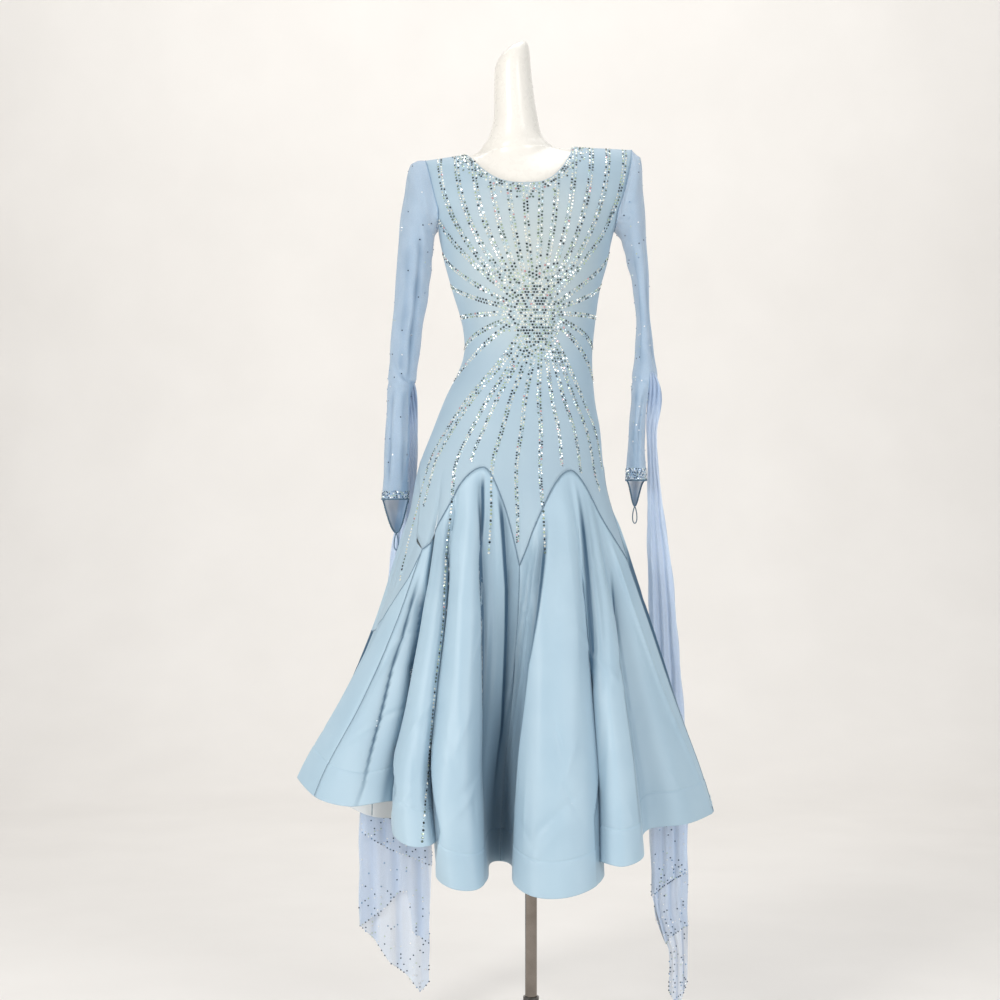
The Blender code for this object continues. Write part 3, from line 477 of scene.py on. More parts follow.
# Form's neck rings: height, centre x, half width, front depth, back depth
NECK_RINGS = [
    (1.5260, -0.0235, 0.0650, 0.0540, 0.0295),
    (1.5285, -0.0236, 0.0590, 0.0530, 0.0320),
    (1.5340, -0.0248, 0.0520, 0.0505, 0.0345),
    (1.5430, -0.0260, 0.0460, 0.0480, 0.0365),
    (1.5570, -0.0262, 0.0410, 0.0455, 0.0380),
    (1.5750, -0.0255, 0.0374, 0.0430, 0.0380),
    (1.6060, -0.0287, 0.0342, 0.0400, 0.0370),
    (1.6400, -0.0312, 0.0316, 0.0380, 0.0360),
    (1.6620, -0.0318, 0.0300, 0.0360, 0.0350),
    (1.6740, -0.0305, 0.0262, 0.0310, 0.0300),
    (1.6810, -0.0285, 0.0190, 0.0225, 0.0220),
    (1.6840, -0.0265, 0.0095, 0.0110, 0.0110),
]
NECK_HALF_WIDTH = 0.066
NECK_MIDDLE = -0.024
NECK_FRONT = 0.055
NECK_BACK = 0.030
NECK_BLEND = 8
NECK_TOP_SLANT = 0.55
NECK_SLANT_START = 1.600
NECK_SLANT_MIDDLE = -0.030
NECK_FIRST_SHARE = 0.4
NECK_EVEN_RINGS = 5
SHOULDER_INSET = 0.030
INSET_START = 1.37
INSET_LENGTH = 0.05
INSET_POWER = 0.7
HIP_TAPER_START = 0.985
HIP_TAPER_LENGTH = 0.10
HIP_TAPER_POWER = 1.5
HIP_TAPER = 0.014
FORM_INSET = 0.0065
SHOULDER_SEAT = 0.0035
FORM_LOW = 0.885
FORM_COLUMNS = 32
BODY_RINGS = 13
CAP_RING_SHARES = (0.0, 0.12, 0.26, 0.40, 0.54, 0.68, 0.80, 0.90, 0.965)
UNDERSIDE_SHARE = 0.5
FORM_SMOOTHING = 2
STEEL_EDGE = 0.0006

# Stones: sizes, spacing of the rows, cut, tilt, and clearance from each other and from edges
STONE_SEED = 11
SPARSE_SEED = 23
STONE_RADIUS = 0.0021
STONE_SPACING = 0.0060
ROW_OFFSET = 0.0027
TWO_ROWS_FROM = 0.0012
STONE_WOBBLE = 0.0003
STONE_TILT = 0.16
STONE_SIDES = 8
STONE_HEIGHT = 0.52
TABLE_SHARE = 0.56
STONE_CELL = 0.006
STONE_GAP = 1.02
LOOK_AHEAD = 0.004
BODICE_STONE_LIFT = 0.0001
STONE_LIFT = 0.0002
SKIRT_STONE_PITCH = 0.0059
SKIRT_STONE_RADIUS = 0.0022
SIDE_LIMIT = 0.999
ARMHOLE_CLEAR = 2.0
NECK_CLEAR = 0.003
RIDGE_CLEAR = 0.001
HEM_CLEAR = 0.004

# Sunburst of stones: rays from a hub, evenly spaced. Heights in metres, angles in degrees
HUB_X = 0.006
HUB_HEIGHT = 1.236
HUB_HALF_WIDTH = 0.048
HUB_HALF_HEIGHT = 0.076
HUB_PITCH = 0.0047
HUB_CORE = 0.72
HUB_STONE_RADIUS = STONE_RADIUS * 0.95
RAY_STEPS = 60
UPPER_RAYS = 13
UPPER_RAY_FROM = -0.1830
UPPER_RAY_STEP = 0.0284
UPPER_RAY_BEND = 2.1
UPPER_RAY_SIZES = (STONE_RADIUS, STONE_RADIUS * 0.92)
SIDE_RAYS = 5
SIDE_RAY_HEIGHTS = (1.125, 1.345)
SIDE_RAY_BEND = 1.25
SIDE_RAY_REACH = 86.0
SIDE_RAY_SIZES = (STONE_RADIUS, STONE_RADIUS * 0.85)
SIDE_RAY_OFFSETS = (ROW_OFFSET, 0.0022)
LOWER_RAY_FROM = -70.0
LOWER_RAY_STEP = 14.6
LOWER_RAY_ENDS = (0.970, 0.915, 0.933, 0.990, 0.838, 0.857, 0.838, 0.982, 0.972, 0.942, 0.978)
LOWER_RAY_BEND = 1.5
LOWER_RAY_SIZES = (STONE_RADIUS, STONE_RADIUS * 0.66)
LOWER_RAY_OFFSETS = (ROW_OFFSET, 0.0013)

# Lower rays that run on down the right side and down the skirt: ray, then angles and heights of their places
LONG_RAYS = {
    0: [(-63.0, 0.970), (-63.5, 0.900), (-61.0, 0.850), (-56.0, 0.820), (-51.5, 0.790)],
    2: [(-36.5, 0.933), (-37.0, 0.885), (-36.0, 0.826), (-33.0, 0.730), (-31.0, 0.629), (-26.5, 0.476),
        (-24.5, 0.360)],
}
LONG_RAY_STEPS = 160
LONG_RAY_SIZES = (STONE_RADIUS * 0.8, STONE_RADIUS * 0.8)

# Rows of stones along the neckline
NECK_STEPS = 240
NECK_CLOSE_ROWS = 3
NECK_LOOSE_ROWS = 3
NECK_FIRST_ROW = 0.0032
NECK_ROW_PITCH = 0.0046
NECK_STONE_PITCH = 0.0048
NECK_STONE_RADIUS = STONE_RADIUS * 0.92
NECK_LOOSE_SHARE = 0.42
NECK_LOOSE_DROP = 0.10
NECK_TURN_STEP = 0.1
NECK_RISE_STEP = 0.0005

# Stones of the sleeves, cuffs and floats
SLEEVE_STONES = 90
SLEEVE_STONES_END = 6
SLEEVE_STONE_RADIUS = 0.0014
CUFF_TRIES = 2400
CUFF_BAND_ROWS = 4
CUFF_BARE_COLUMNS = 14
CUFF_FACING_ROW = -4
CUFF_CENTRE_ROW = -6
CUFF_ROW_INSET = 0.0026
CUFF_EDGE_PITCH = 0.0029
CUFF_STONE_LIFT = 0.0012
CUFF_STONE_RADIUS = 0.0013
FLOAT_STONE_ROWS = 26
FLOAT_STONE_SHARE = 0.30
FLOAT_STONE_FADE = 9.0
FLOAT_STONE_RADIUS = 0.0015

# Tones of the crystals' facets, partly their own colour and partly painted glints and dark reflections: red,
# green, blue, weight
STONE_AND_GLINT_TONES = [
    (0.92, 0.95, 0.82, 6),
    (0.52, 0.64, 0.46, 2.0),
    (0.15, 0.21, 0.18, 2.5),
    (0.040, 0.055, 0.065, 3.0),
    (0.50, 0.66, 0.72, 1.5),
    (0.72, 0.42, 0.42, 0.4),
]
BLUE_STONE_AND_GLINT_TONES = [
    (0.90, 0.95, 1.0, 4),
    (0.22, 0.36, 0.55, 2),
    (0.04, 0.07, 0.12, 5),
    (0.50, 0.62, 0.52, 1.5),
]
# How far each facet strays from its stone's tone, painting glints and dark reflections
FACET_GLINT_SPREAD = (0.55, 1.35)

# Paper sweep of the studio
SWEEP_FRONT = -9.0
SWEEP_BACK = 4.4
SWEEP_TOP = 6.5
SWEEP_RADIUS = 1.8
SWEEP_HALF_WIDTH = 11.0
SWEEP_FIRST_TURN = 0.05
SWEEP_ROWS = 24
SWEEP_COLUMNS = 12

# Area lights: name, place, target, size, watts, colour
LIGHTS = [
    ("key", (-2.4, -3.0, 2.5), (0.0, 0.0, 1.0), (1.0, 1.4), 77.0, (1.0, 0.985, 0.96)),
    ("side_left", (-2.7, -1.5, 0.8), (-0.2, 0.0, 0.6), (0.8, 1.2), 27.0, (1.0, 0.995, 0.98)),
    ("side_right", (2.7, -1.6, 0.8), (0.2, 0.0, 0.6), (0.8, 1.2), 20.0, (0.98, 0.99, 1.0)),
    ("fill", (2.1, -3.1, 2.1), (0.0, 0.0, 0.9), (1.2, 1.6), 46.0, (0.97, 0.99, 1.0)),
    ("top", (0.2, 0.2, 3.6), (0.0, 0.0, 1.0), (2.0, 1.6), 28.0, (1.0, 1.0, 1.0)),
    ("backdrop_wash", (0.0, 1.6, 4.2), (0.0, 4.2, 1.2), (5.0, 0.8), 105.0, (1.0, 0.99, 0.97)),
]
SURROUND = 0.20

# Camera at the photo's viewpoint
CAMERA_PLACE = (-0.0527, -3.4, 0.9265)
CAMERA_LENS = 72.0
CAMERA_SENSOR = 36.0


# Surfaces

def curve(rows, at, periodic=0.0):
    """Smooth values at each place, read from rows whose first entry is the place."""
    table = np.array(rows, float)
    at = np.asarray(at, float)
    if periodic:
        before, after = table[-2].copy(), table[1].copy()
        before[0] -= periodic
        after[0] += periodic
        at = table[0, 0] + (at - table[0, 0]) % periodic
        table = np.vstack([before, table, after])
    places, values = table[:, 0], table[:, 1:]
    at = np.clip(at, places[0], places[-1])
    slopes = np.empty_like(values)
    slopes[1:-1] = (values[2:] - values[:-2]) / (places[2:] - places[:-2])[:, None]
    slopes[0] = (values[1] - values[0]) / (places[1] - places[0])
    slopes[-1] = (values[-1] - values[-2]) / (places[-1] - places[-2])
    k = np.clip(np.searchsorted(places, at, side="right") - 1, 0, len(places) - 2)
    span = (places[k + 1] - places[k])[..., None]
    t = (at - places[k])[..., None] / span
    start, end = values[k], values[k + 1]
    slope_in, slope_out = slopes[k] * span, slopes[k + 1] * span
    a = 2 * start - 2 * end + slope_in + slope_out
    b = -3 * start + 3 * end - 2 * slope_in - slope_out
    return a * t**3 + b * t**2 + slope_in * t + start


def bell(away, width):
    """1 in the middle, falling to 0 a few widths away."""
    return np.exp(-((away / width) ** 2))


def angle_between(angle, middle):
    """Signed angle from the middle, the short way round."""
    return (angle - middle + 180.0) % 360.0 - 180.0


def shoulder_top(x):
    """Height of the shoulder ridge, which falls from the neck to the sleeves."""
    away = np.hypot(x, SHOULDER_ROUND) - SHOULDER_ROUND
    return SHOULDER_LEVEL + SHOULDER_TILT * x - SHOULDER_SLOPE * away


def armhole_angle(height):
    """How far round a panel reaches at this height: 90 degrees at the side seam, less at the armhole."""
    share = np.clip((height - ARMPIT) / ARMHOLE_CURVE, 0.0, 1.0)
    return 90.0 - (90.0 - ARMHOLE_TOP_ANGLE) * np.sin(share * math.pi / 2) ** ARMHOLE_CURVE_POWER


def body_point(angle, height):
    """Points of the plain body and skirt cone. Above CAP_START the height runs over the rounded shoulder."""
    angle, height = np.broadcast_arrays(np.asarray(angle, float), np.asarray(height, float))
    cap = np.maximum(0.0, (height - CAP_START) / CAP_LENGTH) * math.pi / 2
    level = np.minimum(height, CAP_START + (SHOULDER_LEVEL - CAP_START) * np.sin(cap))
    level = np.where(cap > 0, level, height)
    centre, half, front, back = np.moveaxis(curve(SECTIONS, level), -1, 0)
    turn = np.radians(angle)
    x = centre + half * np.sin(turn)
    flat = np.where(np.cos(turn) > 0, front, back)
    depth = np.where(cap > 0, CAP_DEPTH * np.cos(cap), flat)
    z = np.where(cap > 0, CAP_START + (shoulder_top(x) - CAP_START) * np.sin(cap), height)
    return np.stack([x, -depth * np.cos(turn), z], axis=-1)


def hem_height(angle):
    return curve(HEM, angle, 360.0)[..., 2]


def fall_share(angle, height):
    """Share of the skirt's fall: 0 at the hips, 1 at the hem."""
    return np.clip((FOLD_START - height) / (FOLD_START - hem_height(angle)), 0.0, 1.0)


def fold_mark(angle, fall):
    """The angle at the hem of the fold that passes a place, so that the folds run as they hang."""
    wrapped = (angle + 90.0) % 360.0 - 90.0
    shares, *lines = zip(*FOLD_LINES)
    here = [np.interp(fall, shares, line) for line in lines]
    mark = wrapped.copy()
    for k in range(len(lines) - 1):
        inside = (wrapped >= here[k]) & (wrapped < here[k + 1])
        t = (wrapped - here[k]) / (here[k + 1] - here[k])
        mark = np.where(inside, FOLD_MARKS[k] + (FOLD_MARKS[k + 1] - FOLD_MARKS[k]) * t, mark)
    return mark


def dress_point(angle, height):
    """The dress's outer surface: the body, and below the hips the folds that grow to the hem."""
    angle, height = np.broadcast_arrays(np.asarray(angle, float), np.asarray(height, float))
    point = body_point(angle, height)
    fall = fall_share(angle, height)
    share = fall**FOLD_GROWTH
    mark = fold_mark(angle, fall)
    hem = curve(HEM, mark, 360.0)
    foot = body_point(mark, hem[..., 2])
    point[..., 0] += share * (hem[..., 0] - foot[..., 0])
    point[..., 1] += share * (hem[..., 1] - foot[..., 1])
    return point


def outward(angle, height):
    """Unit normals of the dress's surface."""
    turn, rise = NORMAL_ANGLE_STEP, NORMAL_HEIGHT_STEP
    across = dress_point(angle + turn, height) - dress_point(angle - turn, height)
    along = dress_point(angle, height + rise) - dress_point(angle, height - rise)
    normal = np.cross(across, along)
    return normal / np.linalg.norm(normal, axis=-1, keepdims=True)


def seam_height(angle):
    """Height of the godet seam: arches between the points where two godets meet."""
    angle = -90.0 + (np.asarray(angle, float) + 90.0) % 360.0
    height = np.zeros_like(angle)
    for (start, low), (end, high) in zip(SEAM, SEAM[1:]):
        top, top_height, point_height = (start, low, high) if start in ARCH_TOPS else (end, high, low)
        share = np.abs(angle - top) / (end - start)
        here = top_height - (top_height - point_height) * share**SEAM_ARCH
        height = np.where((angle >= start) & (angle <= end), here, height)
    return height


def neckline_height(angle, neck):
    """Height of the neckline's edge at a panel angle, up to the shoulder ridge at its corners."""
    side = np.where((angle - neck["low"]) * (neck["right"] - neck["low"]) > 0, neck["right"], neck["left"])
    share = np.abs(angle - neck["low"]) / np.abs(side - neck["low"])
    rise = 1.0 - (1.0 - np.minimum(share, 1.0) ** neck["power"]) ** (1.0 / neck["round"])
    height = neck["height"] + (RIDGE - neck["height"]) * rise
    return np.where(share >= 1.0, RIDGE, height)


def large_fold_painted_shade(angle, height):
    """How much painted shade a place gets for lying between the skirt's large folds: 0 on a crest, 1 far
    inside.
    """
    fall = fall_share(angle, height)
    mark = fold_mark(angle, fall)

    def swell(at):
        hem = curve(HEM, at, 360.0)
        away = hem[..., :2] - body_point(at, hem[..., 2])[..., :2]
        return away[..., 0] * np.sin(np.radians(at)) - away[..., 1] * np.cos(np.radians(at))

    beside = np.max([swell(mark + step) for step in FOLD_SHADE_REACH], axis=0)
    return np.clip((beside - swell(mark)) / FOLD_SHADE_FULL, 0.0, 1.0) * fall


# Mesh building

def add_object(name, data):
    obj = bpy.data.objects.new(name, data)
    bpy.context.scene.collection.objects.link(obj)
    return obj


def place_piece(obj, replaced=None):
    """A piece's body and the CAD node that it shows."""
    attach(obj, "root")
    if replaced is not None:
        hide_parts(replaced)


def round_turn(count):
    """Evenly spaced turns once round, in radians."""
    return 2 * math.pi * np.arange(count) / count


def grid_faces(rows, columns, closed, start=0):
    last = columns if closed else columns - 1
    r, c = np.meshgrid(np.arange(rows - 1), np.arange(last), indexing="ij")
    a = start + r * columns + c
    b = start + r * columns + (c + 1) % columns
    return np.stack([a, b, b + columns, a + columns], axis=-1).reshape(-1, 4)


def distances(path):
    """Distance of each point of a path from its start."""
    return np.concatenate([[0.0], np.cumsum(np.linalg.norm(np.diff(path, axis=0), axis=1))])


def at_distance(at, steps, rows):
    """The row of values at a distance along a path."""
    return np.array([np.interp(at, steps, rows[:, i]) for i in range(rows.shape[1])])


def thread_map(grid):
    """Place of each point along the cloth's threads: distance across the grid and down it."""
    along = np.zeros(grid.shape[:2])
    across = np.zeros(grid.shape[:2])
    along[1:] = np.cumsum(np.linalg.norm(np.diff(grid, axis=0), axis=2), axis=0)
    across[:, 1:] = np.cumsum(np.linalg.norm(np.diff(grid, axis=1), axis=2), axis=1)
    return np.stack([across, along], axis=-1).reshape(-1, 2)


def mesh_object(name, points, faces, materials, uv, face_materials=None, depth=None):
    """A smooth mesh with the thread directions, and the fold depth at each point, which paints shade and
    closes the nets.
    """
    mesh = bpy.data.meshes.new(name)
    mesh.from_pydata(points.tolist(), [], faces.tolist())
    for mat in materials:
        mesh.materials.append(mat)
    if face_materials is not None:
        mesh.polygons.foreach_set("material_index", face_materials.astype(np.int32))
    layer = mesh.uv_layers.new(name="threads")
    corner = np.empty(len(mesh.loops), np.int32)
    mesh.loops.foreach_get("vertex_index", corner)
    layer.data.foreach_set("uv", uv[corner].astype(np.float32).ravel())
    # The fold attribute is the painted shade mask, and on the nets also where they close up
    if depth is not None:
        fold = mesh.attributes.new("fold", "FLOAT", "POINT")
        fold.data.foreach_set("value", depth.astype(np.float32).ravel())
    mesh.shade_smooth()
    return add_object(name, mesh)


def wall(name, outer, inner, materials, depth=None):
    """Two grids of points joined round their edges. The inner one takes the second material."""
    rows, columns = outer.shape[:2]
    count = rows * columns
    front = grid_faces(rows, columns, False)
    back = grid_faces(rows, columns, False, count)[:, ::-1]
    ring = np.arange(columns - 1)
    bottom = np.stack([ring, ring + count, ring + 1 + count, ring + 1], axis=-1)
    top = bottom[:, ::-1] + (rows - 1) * columns
    side = np.arange(rows - 1) * columns
    left = np.stack([side, side + columns, side + columns + count, side + count], axis=-1)
    rims = np.concatenate([bottom, top, left, left[:, ::-1] + columns - 1])
    face_materials = np.concatenate([np.zeros(len(front)), np.ones(len(back)), np.zeros(len(rims))])
    points = np.concatenate([outer.reshape(-1, 3), inner.reshape(-1, 3)])
    faces = np.concatenate([front, back, rims])
    uv = np.concatenate([thread_map(outer)] * 2)
    if depth is not None:
        depth = np.concatenate([depth, depth])
    return mesh_object(name, points, faces, materials, uv, face_materials, depth)


def single(name, grid, mat, closed=False, depth=None):
    """One layer of thin cloth from a grid of points."""
    faces = grid_faces(*grid.shape[:2], closed)
    return mesh_object(name, grid.reshape(-1, 3), faces, [mat], thread_map(grid), depth=depth)


def grid_normals(grid, closed=False):
    if closed:
        across = np.roll(grid, -1, axis=1) - np.roll(grid, 1, axis=1)
    else:
        across = np.gradient(grid, axis=1)
    normals = np.cross(across, np.gradient(grid, axis=0))
    return normals / np.maximum(np.linalg.norm(normals, axis=2, keepdims=True), TINY)


def tube_along(name, path, radius, mat, closed=False, replaced=None):
    """A round cord, piping or stitched edge along a path."""
    data = bpy.data.curves.new(name, "CURVE")
    data.dimensions = "3D"
    data.bevel_depth = radius
    data.bevel_resolution = TUBE_ROUNDING
    spline = data.splines.new("POLY")
    spline.points.add(len(path) - 1)
    spline.points.foreach_set("co", np.concatenate([path, np.ones((len(path), 1))], axis=1).ravel())
    spline.use_cyclic_u = closed
    data.materials.append(mat)
    place_piece(add_object(name, data), replaced)


# Materials

class Nodes:
    """Short calls for building one material's nodes."""

    def __init__(self, name):
        self.mat = bpy.data.materials.new(name)
        self.mat.use_nodes = True
        self.tree = self.mat.node_tree
        self.shader = self.tree.nodes["Principled BSDF"]

    def add(self, kind, **values):
        node = self.tree.nodes.new(kind)
        for key, value in values.items():
            setattr(node, key, value)
        return node

    def link(self, source, target):
        self.tree.links.new(source, target)

    def connect(self, source, name):
        self.link(source, self.shader.inputs[name])

    def settings(self, **values):
        """Values of the shader's own sockets, their names written with underscores."""
        for key, value in values.items():
            self.shader.inputs[key.replace("_", " ")].default_value = value

    def coordinates(self, kind="Object", scale=(1.0, 1.0, 1.0)):
        place = self.add("ShaderNodeTexCoord")
        mapping = self.add("ShaderNodeMapping")
        mapping.inputs["Scale"].default_value = scale
        self.link(place.outputs[kind], mapping.inputs["Vector"])
        return mapping.outputs["Vector"]

    def noise(self, vector, scale, detail=3.0):
        node = self.add("ShaderNodeTexNoise")
        node.inputs["Scale"].default_value = scale
        node.inputs["Detail"].default_value = detail
        self.link(vector, node.inputs["Vector"])
        return node.outputs["Fac"]

    def wave(self, vector, scale, direction, distortion):
        node = self.add("ShaderNodeTexWave", bands_direction=direction)
        node.inputs["Scale"].default_value = scale
        node.inputs["Distortion"].default_value = distortion
        self.link(vector, node.inputs["Vector"])
        return node.outputs["Fac"]

    def tone(self, factor, dark, light, edge=0.35):
        """A colour between dark and light, plain up to the edge of the factor's range on both sides."""
        node = self.add("ShaderNodeValToRGB")
        for element, place, colour in zip(node.color_ramp.elements, (edge, 1.0 - edge), (dark, light)):
            element.position = place
            element.color = (*colour, 1.0)
        self.link(factor, node.inputs["Fac"])
        return node.outputs["Color"]

    def scaled(self, factor, low, high):
        node = self.add("ShaderNodeMapRange")
        node.inputs["To Min"].default_value = low
        node.inputs["To Max"].default_value = high
        self.link(factor, node.inputs["Value"])
        return node.outputs["Result"]

    def blended(self, factor, base, other):
        """The base colour, going over to the other as the factor rises."""
        mix = self.add("ShaderNodeMix", data_type="RGBA")
        mix.inputs["B"].default_value = (*other, 1.0)
        self.link(factor, mix.inputs["Factor"])
        self.link(base, mix.inputs["A"])
        return mix.outputs["Result"]

    def fold_depth_and_painted_shade(self):
        """The fold attribute, where cloth only sees cloth: painted shade in the folds, and on the nets also
        closer cover.
        """
        return self.add("ShaderNodeAttribute", attribute_name="fold").outputs["Fac"]

    def bump(self, height, strength, distance, before=None):
        node = self.add("ShaderNodeBump")
        node.inputs["Strength"].default_value = strength
        node.inputs["Distance"].default_value = distance
        self.link(height, node.inputs["Height"])
        if before is not None:
            self.link(before, node.inputs["Normal"])
        return node.outputs["Normal"]


def cloth_material(name, light, dark, roughness, sheen, weave, wrinkle, fold_tone_with_painted_shade=None, stretched=None):
    """Woven or knitted cloth: fine threads, faint wrinkles, an uneven tone and a darker painted shade tone
    in folds.
    """
    n = Nodes(name)
    place = n.coordinates()
    threads = n.coordinates("UV")
    colour = n.tone(n.noise(place, scale=9.0), dark, light)
    # Painted shade: the colour goes over to the fold tone where the mesh marks a place inside the folds
    if fold_tone_with_painted_shade is not None:
        colour = n.blended(n.fold_depth_and_painted_shade(), colour, fold_tone_with_painted_shade)
    if stretched is not None:
        colour = n.blended(stretch_ball(n), colour, stretched)
    n.connect(colour, "Base Color")
    grain = n.noise(threads, scale=900.0, detail=2.0)
    n.connect(n.scaled(grain, roughness - GRAIN, roughness + GRAIN), "Roughness")
    relief = n.bump(n.noise(place, scale=38.0, detail=4.0), strength=0.25, distance=wrinkle)
    for direction in ("X", "Y"):
        relief = n.bump(n.wave(threads, weave, direction, distortion=0.4), 0.15, THREAD_DEPTH, relief)
    n.connect(relief, "Normal")
    n.settings(Sheen_Weight=sheen, Sheen_Roughness=0.4, Sheen_Tint=(0.80, 0.92, 1.0, 1.0))
    n.settings(Specular_IOR_Level=0.36)
    return n.mat


def stretch_ball(n):
    """A soft ball over the chest, where the bodice is stretched thin."""
    mapping = n.add("ShaderNodeMapping", vector_type="TEXTURE")
    mapping.inputs["Location"].default_value = STRETCH_PLACE
    mapping.inputs["Scale"].default_value = STRETCH_SIZE
    n.link(n.add("ShaderNodeTexCoord").outputs["Object"], mapping.inputs["Vector"])
    ball = n.add("ShaderNodeTexGradient", gradient_type="SPHERICAL")
    n.link(mapping.outputs["Vector"], ball.inputs["Vector"])
    return ball.outputs["Fac"]


def satin_material():
    # The satin's fold tone is painted shade in its folds and beside knife edges
    return cloth_material("satin", light=(0.430, 0.575, 0.675), dark=(0.395, 0.540, 0.645), roughness=0.43,
                          sheen=0.22, weave=420.0, wrinkle=0.0014, fold_tone_with_painted_shade=(0.050, 0.110, 0.178))


def knit_material():
    """The bodice's matte stretch cloth, paler and warmer over the chest where it is stretched thin."""
    return cloth_material("bodice_knit", light=(0.400, 0.520, 0.600), dark=(0.370, 0.490, 0.580),
                          roughness=0.58, sheen=0.20, weave=520.0, wrinkle=0.0006,
                          stretched=(0.500, 0.560, 0.560))


def lining_material():
    return cloth_material("lining", light=(0.80, 0.84, 0.86), dark=(0.75, 0.80, 0.83), roughness=0.55,
                          sheen=0.1, weave=420.0, wrinkle=0.0010)


def net_material(name, light, dark, fold_tone_with_painted_shade, hole_cover):
    """Sheer stretch net: see-through between its threads, closer where gathered, and darker in its folds,
    partly from the gathered net and partly as painted shade.
    """
    n = Nodes(name)
    threads = n.coordinates("UV")
    place = n.coordinates()
    colour = n.tone(n.noise(place, scale=14.0), dark, light)
    # Darker in the folds, partly as closer gathered net and partly as painted shade
    n.connect(n.blended(n.fold_depth_and_painted_shade(), colour, fold_tone_with_painted_shade), "Base Color")
    holes = n.add("ShaderNodeTexVoronoi", feature="DISTANCE_TO_EDGE")
    holes.inputs["Scale"].default_value = NET_SCALE
    n.link(threads, holes.inputs["Vector"])
    closing = n.add("ShaderNodeMix", data_type="FLOAT")
    closing.inputs["B"].default_value = GATHERED_COVER
    n.link(n.fold_depth_and_painted_shade(), closing.inputs["Factor"])
    n.link(n.scaled(holes.outputs["Distance"], THREAD_COVER, hole_cover), closing.inputs["A"])
    n.connect(closing.outputs["Result"], "Alpha")
    n.connect(n.bump(n.noise(place, scale=60.0), strength=0.2, distance=0.0008), "Normal")
    n.settings(Roughness=0.6, Sheen_Weight=0.2, Transmission_Weight=0.0, Specular_IOR_Level=0.3)
    return n.mat


def form_material():
    """Glossy warm white lacquer with a faint unevenness."""
    n = Nodes("form_gloss")
    place = n.coordinates()
    tone = n.tone(n.noise(place, scale=6.0), (0.86, 0.825, 0.76), (0.88, 0.85, 0.79), edge=0.3)
    n.connect(tone, "Base Color")
    n.connect(n.scaled(n.noise(place, scale=90.0), 0.24, 0.32), "Roughness")
    n.connect(n.bump(n.noise(place, scale=24.0), strength=0.1, distance=0.0008), "Normal")
    n.settings(Coat_Weight=0.25, Coat_Roughness=0.15)
    return n.mat


def steel_material(name, light, dark, low, high):
    """Drawn steel tube: fine lines along its length and worn patches."""
    n = Nodes(name)
    lines = n.coordinates(scale=DRAWN_LINES)
    n.connect(n.tone(n.noise(n.coordinates(), scale=30.0), dark, light, edge=0.3), "Base Color")
    n.connect(n.scaled(n.noise(lines, scale=1.0), low, high), "Roughness")
    n.connect(n.bump(n.noise(lines, scale=1.0), strength=0.08, distance=0.0001), "Normal")
    n.settings(Metallic=1.0)
    return n.mat


def thread_material(name, light, dark):
    """Twisted thread or covered elastic, and the seams' dark piping, whose tone paints a shadow line."""
    n = Nodes(name)
    place = n.coordinates()
    n.connect(n.tone(n.noise(place, scale=400.0), dark, light), "Base Color")
    n.connect(n.bump(n.noise(place, scale=1500.0), strength=0.4, distance=0.0002), "Normal")
    n.settings(Roughness=0.6)
    return n.mat


def stone_material():
    """Cut glass stones: each facet takes its own tone, partly the crystal's own colour and partly painted
    glints and dark reflections.
    """
    n = Nodes("stones")
    n.connect(n.add("ShaderNodeAttribute", attribute_name="facet").outputs["Color"], "Base Color")
    n.connect(n.scaled(n.noise(n.coordinates(), scale=300.0), 0.04, 0.14), "Roughness")
    n.settings(Metallic=0.25, Specular_IOR_Level=0.8, Coat_Weight=0.7, Coat_Roughness=0.03)
    return n.mat


def floor_material():
    """Plain pale studio paper."""
    n = Nodes("studio_paper")
    place = n.coordinates()
    tone = n.tone(n.noise(place, scale=3.0), (0.80, 0.775, 0.745), (0.83, 0.805, 0.775), edge=0.3)
    n.connect(tone, "Base Color")
    n.connect(n.bump(n.noise(place, scale=120.0), strength=0.05, distance=0.001), "Normal")
    n.settings(Roughness=0.9)
    return n.mat


# Cloth pieces

def panel_angles(start, end, neck):
    """Columns of a panel, closer together towards the neckline's corners."""
    first, last = sorted((neck["left"], neck["right"]))
    turn = np.linspace(0.0, math.pi / 2, NECK_COLUMNS)
    left_part = neck["low"] + (first - neck["low"]) * np.sin(turn)[::-1]
    right_part = neck["low"] + (last - neck["low"]) * np.sin(turn)[1:]
    before = np.linspace(start, first, SIDE_COLUMNS)[:-1]
    after = np.linspace(last, end, SIDE_COLUMNS)[1:]
    angles = np.concatenate([before, left_part, right_part, after])
    for point in GODET_MARKS:
        if start < point < end:
            angles[np.abs(angles - point).argmin()] = point
    return angles


def soften_chest(grid, heights):
    """Ease the line where the straight body turns into the rounded shoulder."""
    near = bell(heights - CAP_START, CHEST_EASE)[1:-1, :, None]
    for _ in range(CHEST_PASSES):
        grid[1:-1] += near * 0.5 * ((grid[2:] + grid[:-2]) / 2 - grid[1:-1])
    return grid


def build_panel(name, start, end, neck, middle, facing, mats):
    """Front or back of the bodice, from the godet seam to the neckline, armholes and shoulder seams."""
    angles = panel_angles(start, end, neck)
    low = seam_height(angles)
    high = neckline_height(angles, neck)
    share = np.linspace(0.0, 1.0, PANEL_ROWS)[:, None]
    heights = np.concatenate([low + (ARMPIT - low) * share[:-1], ARMPIT + (high - ARMPIT) * share])
    place = middle + (angles - middle) * armhole_angle(heights) / 90.0
    outer = soften_chest(dress_point(place, heights), heights)
    normals = outward(place, heights)
    outer += normals * (bell(heights - low, LAP_WIDTH) * BAND_RAISE)[..., None]
    inner = outer - normals * CLOTH_THICKNESS
    for grid in (outer, inner):
        grid[..., 1] = facing * np.maximum(facing * grid[..., 1], SIDE_HALF_GAP)
    obj = wall(name + "_cloth", outer, inner, mats)
    place_piece(obj, name)
    hips = dress_point(np.linspace(start, end, HIP_STEPS), WIDEST_LEVEL)


